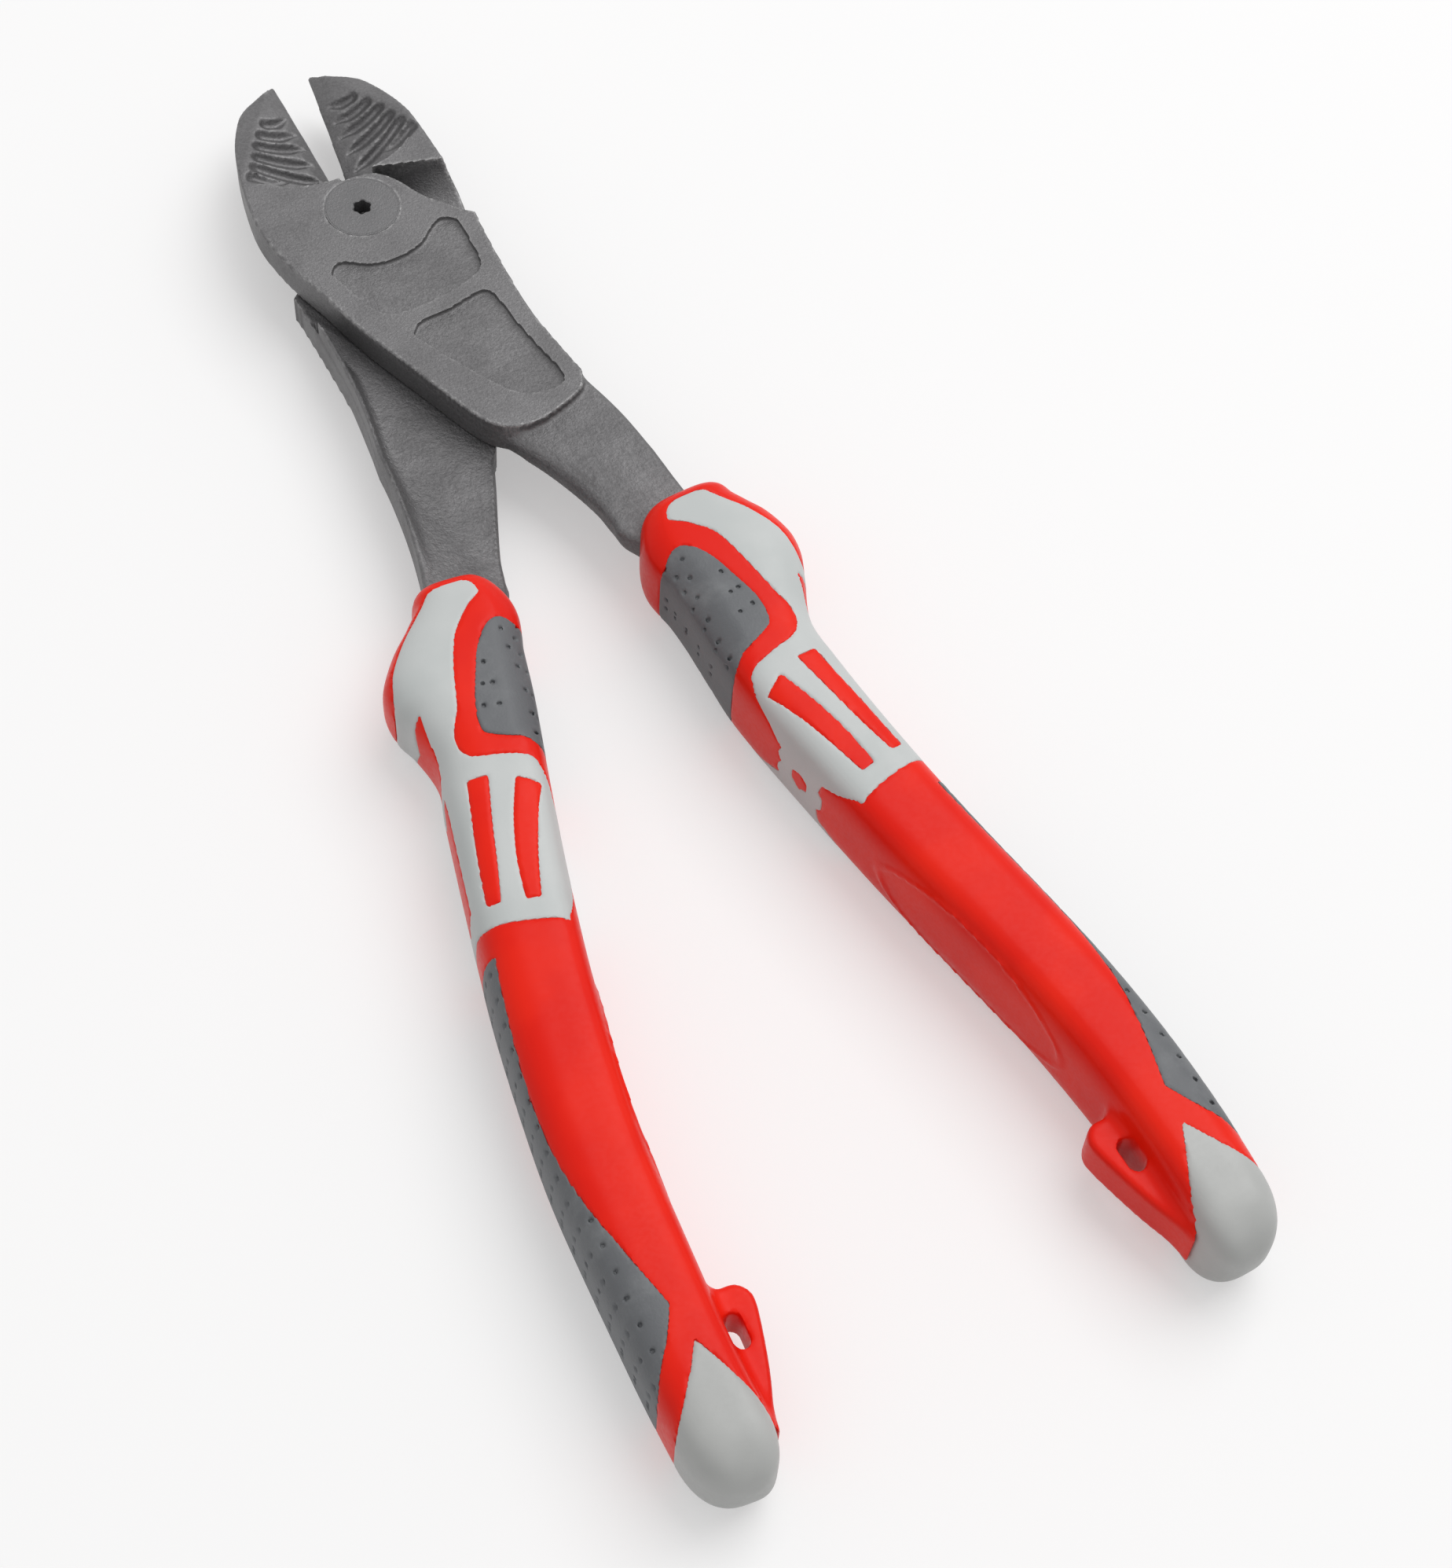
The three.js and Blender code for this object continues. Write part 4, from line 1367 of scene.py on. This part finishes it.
@dataclass
class ForgedHalf:
    """One forging: bevelled jaw, lapped cheek, shoulder, shank and the start of its tang.

    Its outlines are drawn straight; the sample points' coordinates carry the centre line's bend.
    Each of the shank's two face planes, gentle and steep, holds how far it stands off the tang's
    height at its own side and its slope; entry holds the share of the way to the grip where both
    have sunk, and the length over which they do. The scales turn heights above leaning faces into
    distances from them.
    """

    side: Side
    pivot: Pivot
    grip: GripShape
    pitch: float
    jaw_reach: float = 33.2
    jaw_width: float = 16.1
    tip_width: float = 0.9
    half_depth: float = 5.75
    lap: float = 0.15
    edge: float = 0.25
    land: float = 0.1
    hub: float = 6.3
    cheek_reach: float = 49.1
    cheek_width: float = 15.2
    clearance: float = 0.6
    draft: float = 0.14
    front_draft: float = 0.48
    recess_depth: float = 0.9
    bevel_width: float = 12.4
    edge_bevel: tuple[float, float] = (2.7, 2.0)
    nose_rise: tuple[float, float, float] = (1.54, 0.295, 0.063)
    bevel_scale: float = 0.93
    shank_depth: float = 3.7
    flank_lean: float = 0.3
    flank_level: float = 0.9
    flank_scale: float = 0.93
    gentle: tuple[float, float] = (1.0, 0.06)
    steep: tuple[float, float] = (0.5, 0.36)
    entry: tuple[float, float] = (0.98, 8.0)
    rim: float = 1.2
    rim_lean: float = 0.16
    rim_scale: float = 0.98
    hollow_top: float = 0.22
    lip: tuple[float, float] = (0.8, 0.4)
    lip_top: float = 1.03
    shoulder_reach: tuple[float, float] = (0.5, 6.2)
    seat: tuple[float, float] = (5.65, 2.3)
    bore: float = 4.15
    # How much of the pale edge shade (wear with a painted highlight) is kept below the face, on
    # the jaw and by the recesses.
    wear_below: float = 0.2
    wear_on_jaw: float = 0.35
    wear_by_recess: float = 0.3
    skin_rough: float = 0.16
    scoop: Scoop = Scoop()
    radii: Radii = Radii()

    def jaw_side(self) -> Array:
        """The outer side of the jaw and the cheek, from the tip to the cheek's rounded end.

        Returns:
            Rows of (x, y).
        """
        jaw, cheek, low = self.jaw_width, self.cheek_width, self.cheek_reach
        above = [(-0.171, 0.955), (-0.457, 0.88), (-0.609, 0.783), (-0.764, 0.623),
                 (-0.879, 0.434), (-0.969, 0.199), (-1, 0.05)]
        below = [(-0.975, -0.065), (-0.919, -0.157), (-0.839, -0.253), (-0.706, -0.454),
                 (-0.528, -0.647), (-0.32, -0.877), (-0.165, -0.969)]
        end = [(0.1, -1), (0.44, -0.984), (0.757, -0.947), (0.872, -0.886)]
        return spline(np.vstack([
            [(-self.tip_width, self.jaw_reach)],
            np.array(above) * (jaw, self.jaw_reach),
            np.array(below) * (jaw, low),
            np.array(end) * (cheek, low),
        ]), 4)

    def cheek_outline(self) -> Array:
        """The plan of the cheek with its jaw: the jaw's side, the handle's side and the throat.

        Returns:
            Rows of (x, y).
        """
        hub, cheek = self.hub, self.cheek_width
        handle = [(0.872, -0.886), (0.835, -0.729), (0.825, -0.593), (0.88, -0.387),
                  (0.94, -0.225)]
        outer = [(0.965, -1.42), (0.93, -1.33), (0.87, -1.2)]
        inner = [(1.9, -0.94), (1.43, -0.29), (1.14, 0.4), (0.8, 0.84), (0.4, 0.97)]
        throat = np.vstack([
            np.array(outer) * (cheek, hub), np.array(inner) * hub, [(-self.edge, hub)],
        ])
        return np.vstack([
            self.jaw_side(),
            spline(np.array(handle) * (cheek, self.cheek_reach))[1:],
            spline(throat),
            [(-self.edge, self.jaw_reach)],
        ])

    def outer_side(self) -> Pairs:
        """The shank's outer side, as plan points from the joint to inside the grip.

        Returns:
            The points, from the top down.
        """
        side = [(0.925, -0.245), (0.915, -0.31), (0.86, -0.44), (0.825, -0.66), (0.88, -0.9)]
        entry = [(3.9, -0.74), (4.6, -0.87), (5.8, -1)]
        return self.shank_side(side, entry, 1)

    def inner_side(self) -> Pairs:
        """The shank's inner side, as plan points from the lap to inside the grip.

        Returns:
            The points, from the top down.
        """
        side = [(-0.32, -0.84), (-0.2, -0.95), (0.03, -1.15)]
        entry = [(-7.4, -0.92), (-6.8, -0.98), (-6.1, -1.03)]
        return self.shank_side(side, entry, -1)

    def shank_side(self, side: Pairs, entry: Pairs, way: int) -> Pairs:
        """One side of the shank.

        Args:
            side: Its points beside the cheek, as shares of the cheek's width and reach.
            entry: Those before the grip: x from the grip's offset, y as a share of its top.
            way: 1 for the outer side, -1 for the inner one.

        Returns:
            The points, from the top down.
        """
        cheek, low, grip = self.cheek_width, self.cheek_reach, self.grip
        beside = [(x * cheek, y * low) for x, y in side]
        before = [(grip.offset + x, y * grip.top) for x, y in entry]
        return [*beside, *before, *self.tang_side(way)]

    def tang_side(self, way: int) -> Pairs:
        """One side of the tang inside the grip's top, the outer (1) or the inner (-1).

        Args:
            way: 1 for the outer side, -1 for the inner one.

        Returns:
            Two plan points.
        """
        at = np.array([0.1, 0.17])
        middle = self.grip.straight_inner(at) + self.grip.across(at) / 2
        half = np.array([3.4, 3.0])
        return list(zip((middle + way * half).tolist(), self.grip.place(at).tolist()))

    def shank(self, block: Block) -> Array:
        """The shank: a bar with a soft outer edge and, along its inner edge, a broad slant.

        Its face is the lower of two planes that lean across it: one falls gently inward from the
        outer side, the other rises steeply outward from the inner side. Both sink to the tang's
        height where the grip begins. Its inner flank draws in with depth.

        Args:
            block: The sample points.

        Returns:
            The field.
        """
        outer, inner = self.outer_side(), self.inner_side()
        from_outer = block.x - side_at(outer, block.y)
        from_inner = side_at(inner, block.y) - block.x
        flank = from_inner + self.flank_lean * (self.flank_level - block.z)
        outline = block.plan(spline(outer), spline(inner)[::-1])
        sides = both(outline, flank * self.flank_scale)
        sunk_at, run = self.entry
        entry = np.clip((block.y + sunk_at * self.grip.top) / run, 0, 1)
        (gentle, fall), (steep, rise) = self.gentle, self.steep
        from_outside = self.shank_depth + entry * (gentle + fall * from_outer)
        from_inside = self.shank_depth - entry * (steep + rise * from_inner)
        face = block.z - np.minimum(from_outside, from_inside)
        upper = both(sides, face, self.radii.shank)
        return both(upper, -self.shank_depth - block.z, self.radii.back)

    def lap_hollow(self, block: Block) -> Array:
        """The room under the other half's cheek, and the hollow that runs out up the shank.

        The hollow has the lap plane for a floor, a narrow rim for a side, and a ramp for an end:
        the plane through two points on the floor and one on the shank's back. A low lip runs along
        the floor's open side beyond the other cheek.

        Args:
            block: The sample points.

        Returns:
            The field.
        """
        cheek, low, grip, z = self.cheek_width, self.cheek_reach, self.grip, block.z
        a = np.array([0.785 * cheek, -0.9 * low, self.lap])
        b = np.array([0.35 * grip.offset, -grip.top, self.lap])
        c = np.array([1.29 * grip.offset, -grip.top, 0.3 - self.shank_depth])
        slope = np.cross(c - a, b - a)
        slope /= np.linalg.norm(slope) * np.sign(slope[2])
        ramp = (block.x - a[0]) * slope[0] + (block.y - a[1]) * slope[1] + (z - a[2]) * slope[2]
        from_side = block.x - side_at(self.outer_side(), block.y)
        wall = (from_side + self.rim + self.rim_lean * (z - self.lap)) * self.rim_scale
        hollow = both(both(ramp, z - self.lap, self.radii.ramp), wall, self.radii.hollow)
        hollow = both(hollow, block.y + self.hollow_top * low, self.radii.hollow_end)
        wide, tall = self.lip
        from_open = block.x - side_at(self.inner_side(), block.y)
        lip = both(from_open - wide, block.y + self.lip_top * low)
        hollow = without(hollow, both(lip, self.lap - tall - z), self.radii.lip)
        turned_over = self.cheek_outline() * (-1, 1)
        return np.minimum(hollow, both(block.plan(turned_over) - self.clearance, z - self.lap))

    def bevel_height(self, x: Array) -> Array:
        """Half the jaw's thickness at a distance from the cutting edge: the lower of two slopes.

        Args:
            x: Places across the jaw, less than 0 outward from the cutting edge.

        Returns:
            Half thicknesses.
        """
        wide, rise = self.edge_bevel
        first = self.land + (-x - self.edge) * (rise - self.land) / (wide - self.edge)
        second = rise + (-x - wide) * (self.half_depth - rise) / (self.bevel_width - wide)
        return np.minimum(first, second)

    def bevel(self, block: Block) -> Array:
        """What is ground off both faces of the jaw, down to where the bevel runs out.

        Args:
            block: The sample points.

        Returns:
            The field.
        """
        hub, wide, beyond = self.hub, self.bevel_width, 40
        shares = [(-0.32, 1.19), (-0.65, 1.43), (-0.85, 1.75), (-1.02, 2.25)]
        foot = np.vstack([[(-self.edge, 1.12 * hub)], np.array(shares) * (wide, hub)])
        cut = (self.bevel_height(block.x) - np.abs(block.z)) * self.bevel_scale
        region = block.plan([(6, 1.12 * hub)], spline(foot), [(-1.02 * wide, beyond), (6, beyond)])
        return both(cut, region, self.radii.bevel_foot)

    def nose(self, block: Block) -> Array:
        """The facets that thin the jaw towards its tip: a plane leaning across each face."""
        rise, slope, lean = self.nose_rise
        height = rise + slope * (self.jaw_reach - block.y) + lean * block.x
        return (height - np.abs(block.z)) / math.hypot(slope, lean, 1)

    def scoops(self, block: Block) -> Array:
        """The cast scoops across the bevel, which leave sharp ribs between them.

        Each runs from a pointed end near the cutting edge to a round one near the ridge, along a
        shallow arc. Across it, its depth is a skewed parabola of the offset from the arc over the
        half width there, so that its upper wall is the steeper.

        Args:
            block: The sample points.

        Returns:
            The field.
        """
        hub, wide = self.hub, self.bevel_width
        starts = [(-0.165, 4.0), (-0.165, 3.43), (-0.165, 2.92), (-0.18, 2.33), (-0.2, 1.72),
                  (-0.56, 1.86)]
        ends = [(-0.42, 3.88), (-0.56, 3.5), (-0.68, 3.14), (-0.77, 2.76), (-0.87, 2.41),
                (-0.98, 2.11)]
        depth = np.zeros(block.whole[:2])[:, :, None]
        for start, end in zip(np.array(starts) * (wide, hub), np.array(ends) * (wide, hub)):
            depth = np.maximum(depth, self.scoop.sink(block, start, end))
        height = np.minimum(self.bevel_height(block.x), self.half_depth)
        floor = (height - depth - np.abs(block.z)) * self.scoop.scale
        return both(floor, self.scoop.least - depth)

    def recess_plans(self) -> list[Array]:
        """The outlines of the two bare panels in the cheek, the upper one first.

        Returns:
            Two closed outlines.
        """
        upper = [(-0.68, -0.2), (-0.62, -0.175), (-0.5, -0.175), (-0.27, -0.222), (0, -0.236),
                 (0.28, -0.217), (0.5, -0.168), (0.62, -0.157), (0.74, -0.185), (0.73, -0.26),
                 (0.68, -0.37), (0.53, -0.408), (0.13, -0.432), (-0.35, -0.43), (-0.53, -0.38),
                 (-0.62, -0.28), (-0.68, -0.2)]
        lower = [(-0.34, -0.53), (-0.2, -0.495), (0.13, -0.49), (0.45, -0.475), (0.59, -0.495),
                 (0.61, -0.62), (0.64, -0.75), (0.68, -0.86), (0.61, -0.905), (0.38, -0.905),
                 (0.15, -0.86), (-0.02, -0.76), (-0.2, -0.64), (-0.34, -0.53)]
        size = (self.cheek_width, self.cheek_reach)
        return [spline(np.array(points) * size)[:-1] for points in (upper, lower)]

    def recesses(self, block: Block) -> Array:
        """The two panels sunk in the cheek.

        A floor's depth grows in a straight line along one direction, from about three quarters of
        the full depth up to all of it.

        Args:
            block: The sample points.

        Returns:
            The field.
        """
        low, least = self.cheek_reach, 0.765
        # For each panel: the direction in which its floor falls, where it starts to and the run.
        slants = [((0.45, 0.89), -0.42 * low, 8.0), ((0.86, 0.5), -0.385 * low, 5.0)]
        cuts = []
        for outline, ((east, north), start, run) in zip(self.recess_plans(), slants):
            sunk = np.clip((east * block.x + north * block.y - start) / run, least, 1)
            floor = self.half_depth - self.recess_depth * sunk - block.z
            cuts.append(both(block.plan(outline), floor, self.radii.recess))
        return np.minimum(*cuts)

    def shoulder_side(self) -> Array:
        """The ends of the shoulder's edge: the outer one, then the one at the hub."""
        return np.array([(-0.975 * self.jaw_width, 0.8 * self.hub),
                         (-0.6 * self.hub, 1.14 * self.hub)])

    def shoulder(self, block: Block) -> Array:
        """The scoop behind the jaw that the other half's throat swings into.

        Its floor falls from the back face at the shoulder's edge to the lap, as a quarter circle
        stretched over a reach that widens outward.

        Args:
            block: The sample points.

        Returns:
            The field.
        """
        side, root = self.shoulder_side()
        run = (root - side) / np.linalg.norm(root - side)
        below = (block.y - root[1]) * -run[0] + (block.x - root[0]) * run[1]
        outward = np.clip((root[0] - block.x) / (root[0] - side[0]), 0, 1.2)
        least, more = self.shoulder_reach
        share = np.clip(below / (least + more * outward), 0, 1)
        rise = np.sqrt(np.maximum(1 - (1 - share) ** 2, 0))
        floor = -self.half_depth + (self.half_depth + self.lap) * rise
        return both(both(floor - block.z, block.z - self.lap), block.x - root[0])

    def shell(self) -> Shell:
        """The forging's surface, closed and in its own frame.

        Returns:
            The surface.
        """
        block = Block((-18.5, -90, -6.6), (22, 34.4, 6.6), self.pitch)
        bent = block.bent(CENTRE_LINE.shift(self.side, block.y))
        deep, z, lap, radii = self.half_depth, bent.z, self.lap, self.radii
        cheek_plan = bent.plan(self.cheek_outline())
        cheek = both(both(cheek_plan, z - deep, radii.cheek), lap - z)
        side = self.jaw_side()
        jaw_plan = bent.plan(
            side[(side[:, 1] > 0.8 * self.hub) & (side[:, 0] < 0)],
            self.shoulder_side(),
            [(-self.edge, 1.27 * self.hub), (-self.edge, self.jaw_reach)],
        )
        # The walls behind the lap draw in with depth, on the front half the more near the joint.
        most = self.front_draft if self.side is Side.RIGHT else self.draft
        drawn_in = np.interp(bent.y, [2, 24], [most, self.draft]) * np.maximum(lap - z, 0)
        jaw = both(jaw_plan + drawn_in, np.abs(z) - deep, radii.jaw)
        shoulder = both(self.shoulder(bent), cheek_plan + drawn_in, radii.shoulder)
        hollow = self.lap_hollow(bent)
        half = np.minimum(np.minimum(cheek, jaw), shoulder)
        half = without(half, self.bevel(bent), radii.bevel)
        half = without(half, self.nose(bent), radii.nose)
        half = without(half, self.scoops(bent), radii.scoops)
        half = either(half, without(self.shank(bent), hollow, radii.hollow_rim), radii.root)
        half = without(half, both(z - lap, hollow))
        half = without(half, self.recesses(bent))
        spot = np.hypot(block.x, block.y)
        wide, tall = self.seat
        seat = both(spot - wide, deep - tall - z)
        return block.shell(without(half, np.minimum(seat, spot - self.bore), radii.seat))

    def marks(self, shell: Shell) -> dict[str, Array]:
        """How pale each point's edge shade is and how rough the point is, from 0 to 1.

        The pale edge shade is partly wear and partly a painted highlight, and follows how proud a
        point is. It is less on the jaw, on the lower edges and round the recesses. The shank, the
        walls below the face and the recess floors are rough as forged.

        Args:
            shell: The forging's surface, in its own frame.

        Returns:
            The numbers by name, one for each point.
        """
        x, y, z = shell.points.T
        below_face, joint, jaw, edge = self.half_depth - z, -12, 8, 0.7
        below = (below_face > 1.5) & (y < joint)
        less = np.where(below, self.wear_below, np.where(y > jaw, self.wear_on_jaw, 1))
        # Convex points get the pale edge shade: partly wear, partly a painted highlight.
        wear = shell.convexity(self.pitch) * less
        x = x - CENTRE_LINE.shift(self.side, y)
        # Roughness sets in from 1 mm below the face and from 20 to 40 mm below the pivot, and on
        # the whole shank within 3 mm of the cheek's end.
        as_forged = np.clip((below_face - 1.0) * 1.2, 0, 1) * np.clip((-y - 20) / 20, 0, 1)
        shank = np.clip((-y - self.cheek_reach - 1) / 3, 0, 1)
        sunk = np.zeros(len(x))
        near = below_face < 1.2
        for outline in self.recess_plans():
            inside = outline_distance(outline, x[near], y[near])
            sunk[near] = np.maximum(sunk[near], np.clip(-inside * 2, 0, 0.7))
            wear[near] *= np.where(np.abs(inside) < edge, self.wear_by_recess, 1)
        rough = np.maximum.reduce([as_forged, shank, sunk])
        return {"wear": wear, "rough": self.skin_rough + (1 - self.skin_rough) * rough}

    def build(self) -> bpy.types.Object:
        """Makes the forging, with its pale edges (wear and painted highlight) and its roughness
        stored on its points.

        Returns:
            The piece.
        """
        shell = self.shell()
        name, weld = f"{self.side.half}_forging", 0.35 * self.pitch
        placed = self.pivot.place(shell, self.side)
        return placed.piece(name, STEEL, 50.0, weld, self.marks(shell))


@dataclass
class PivotSet:
    """The pivot: a flush bolt with a hexagon socket, and a flanged nut in the rear cheek."""

    pivot: Pivot
    head: tuple[float, float] = (5.8, 2.2)
    shaft: float = 4.0
    half_depth: float = 5.75
    socket: tuple[float, float] = (2.5, 3.0)
    undercut: float = 0.25
    notch: tuple[float, float] = (0.7, 0.45)
    sides: int = 96

    def turn(self, shell: Shell) -> Shell:
        """Places a turned piece with the front half."""
        return self.pivot.place(shell, Side.RIGHT)

    def bolt(self) -> bpy.types.Object:
        """The bolt: rings from the socket's floor up, over the head, down the shaft to its end.

        The socket is a hexagon at its floor and six-lobed at its mouth. A shallow groove runs
        round the head's face, just inside its edge.

        Returns:
            The piece.
        """
        (wide, thick), top, (flats, deep) = self.head, self.half_depth, self.socket
        turn = 2 * np.pi * np.arange(self.sides) / self.sides
        sixth = np.pi / 3
        hexagon = flats / 2 / np.cos((turn + sixth / 2) % sixth - sixth / 2)
        lobed = flats / 2 * (1.05 + 0.1 * np.cos(6 * turn))
        bottom, under = top - deep, top - thick
        rings = [
            (0.96 * hexagon, bottom), (lobed, bottom + 0.1), (lobed, top - 0.12),
            (lobed + 0.14, top + 0.01), (wide - 0.3, top + 0.01), (wide - 0.27, top - 0.02),
            (wide - 0.22, top - 0.02), (wide - 0.19, top + 0.008), (wide, top + 0.005),
            (wide, top - 0.2), (wide - self.undercut, top - 0.3), (wide - self.undercut, under),
            (self.shaft, under), (self.shaft, 0.35 - top), (self.shaft - 0.35, -top),
        ]
        reach = np.array([ring * np.ones(self.sides) for ring, _ in rings])
        heights = np.array([(0, bottom), *((0, height) for _, height in rings), (0, -top)])
        shell = self.turn(turned(heights, self.sides, reach))
        return shell.piece("pivot_bolt_turned", BOLT_STEEL, 30.0)

    def nut(self) -> bpy.types.Object:
        """The nut: a flanged ring, flush with the rear cheek, with two pin spanner notches.

        Returns:
            The piece.
        """
        wide, thick = self.head[0] - self.undercut, self.head[1]
        bottom, hole, room = -self.half_depth, self.shaft + 0.3, 0.6
        block = Block((-6.2, -6.2, bottom - room), (6.2, 6.2, bottom + thick + room), 0.2)
        spot = np.hypot(block.x, block.y)
        ring = both(spot - wide, np.abs(block.z - bottom - thick / 2) - thick / 2, 0.15)
        ring = without(ring, spot - hole, 0.12)
        inward, reach = self.notch
        notch = np.hypot(block.y, np.abs(block.x) - wide + inward) - reach
        ring = without(ring, both(notch, block.z - bottom - inward), 0.08)
        return self.turn(block.shell(ring)).piece("pivot_nut_turned", BOLT_STEEL)


# ---- The studio --------------------------------------------------------------------------------
@dataclass
class Studio:
    """The pale floor, the soft light and the camera.

    The lens, the film and the eye's place are in millimetres, the eye's from the pivot. The
    lamp's place and size and the floor's reach are in metres, its power in watts.
    """

    pivot: Pivot
    lens: float = 73.12
    film: float = 36.0
    sky: float = 0.5
    grey: float = 0.62
    glow: float = 0.4
    reach: float = 6.0
    lamp_place: tuple[float, float, float] = (0.85, 0.3, 1.6)
    lamp_size: float = 1.5
    lamp_power: float = 18.8
    eye: tuple[float, float, float] = (-105.8, -313.4, 381.4)
    forward: tuple[float, float, float] = (0.255, 0.449, -0.856)
    up: tuple[float, float, float] = (0.353, 0.781, 0.515)

    def camera(self) -> None:
        """Stands the camera in front of the handles, above them and to the left."""
        data = bpy.data.cameras.new("camera")
        data.sensor_fit, data.sensor_width, data.sensor_height = "VERTICAL", self.film, self.film
        data.lens = self.lens
        data.clip_start, data.clip_end = 0.01, 20.0
        forward = Vector(self.forward).normalized()
        right = forward.cross(Vector(self.up)).normalized()
        turn = Matrix((right, right.cross(forward), -forward)).transposed().to_4x4()
        place = (Vector(self.eye) + Vector(self.pivot.centre)) * MILLIMETRE
        camera = link("camera", data)
        camera.matrix_world = Matrix.Translation(place) @ turn
        bpy.context.scene.camera = camera

    def floor(self) -> None:
        """Lays the floor under the tool; to the camera it is a little paler than it is lit."""
        material = bpy.data.materials.new("pale floor")
        graph = Graph(material)
        seen = self.seen(graph)
        skin = graph.add("ShaderNodeBsdfDiffuse", sockets={"Color": (*[self.grey] * 3, 1)})
        sockets = {"Color": (1, 0.99, 0.99, 1), "Strength": seen * self.glow}
        glow = graph.add("ShaderNodeEmission", sockets=sockets)
        surface = graph.add("ShaderNodeAddShader", sockets={0: skin, 1: glow})
        graph.add("ShaderNodeOutputMaterial", sockets={"Surface": surface})
        mesh = bpy.data.meshes.new("floor")
        corners = [(-1, -1, 0), (1, -1, 0), (1, 1, 0), (-1, 1, 0)]
        mesh.from_pydata((np.array(corners) * self.reach).tolist(), [], [(0, 1, 2, 3)])
        mesh.materials.append(material)
        link("floor", mesh)

    def seen(self, graph: Graph) -> Value:
        """One for rays that show the studio to the camera, directly, mirrored or through glass.

        Args:
            graph: The node tree that asks.

        Returns:
            The number, 0 or 1.
        """
        rays = [graph.add("ShaderNodeLightPath", output=f"Is {kind} Ray")
                for kind in ("Camera", "Glossy", "Transmission")]
        return rays[0] + rays[1] + rays[2]

    def lamp(self) -> None:
        """Hangs the square soft lamp, which faces the middle of the tool."""
        data = bpy.data.lights.new("key", "AREA")
        data.size, data.energy = self.lamp_size, self.lamp_power
        lamp = link("key", data)
        lamp.location = self.lamp_place
        lamp.rotation_euler = (-Vector(self.lamp_place)).to_track_quat("-Z", "Y").to_euler()

    def build(self) -> None:
        """Sets up the whole studio."""
        scene = bpy.context.scene
        scene.view_settings.view_transform = "Standard"
        scene.world = bpy.data.worlds.new("studio")
        graph = Graph(scene.world)
        strength = self.seen(graph) * (1 - self.sky) + self.sky
        sockets = {"Color": (1, 1, 1, 1), "Strength": strength}
        sky = graph.add("ShaderNodeBackground", sockets=sockets)
        graph.add("ShaderNodeOutputWorld", sockets={"Surface": sky})
        self.floor()
        self.lamp()
        self.camera()


# ---- The tool ----------------------------------------------------------------------------------
def main() -> None:
    """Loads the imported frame, sets up the studio and builds every piece on its body."""
    logging.basicConfig(level=logging.INFO, format="%(name)s: %(message)s")
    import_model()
    low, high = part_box("pivot_bolt")
    pivot = Pivot(tuple(((low + high) / 2 / MILLIMETRE).to_tuple()))
    Studio(pivot).build()
    coarser = 1.0
    for side in Side:
        shape = GripShape(side)
        half = ForgedHalf(side, pivot, shape, 0.3 * coarser)
        mount(half.build(), side.body, side.half)
        for piece, name, slot in Grip(shape, pivot, 0.36 * coarser).build():
            mount(piece, side.body, name)
    bolts = PivotSet(pivot)
    mount(bolts.bolt(), "front", "pivot_bolt")
    mount(bolts.nut(), "front", "pivot_nut")
    bpy.context.view_layer.update()


if __name__ == "__main__":
    main()
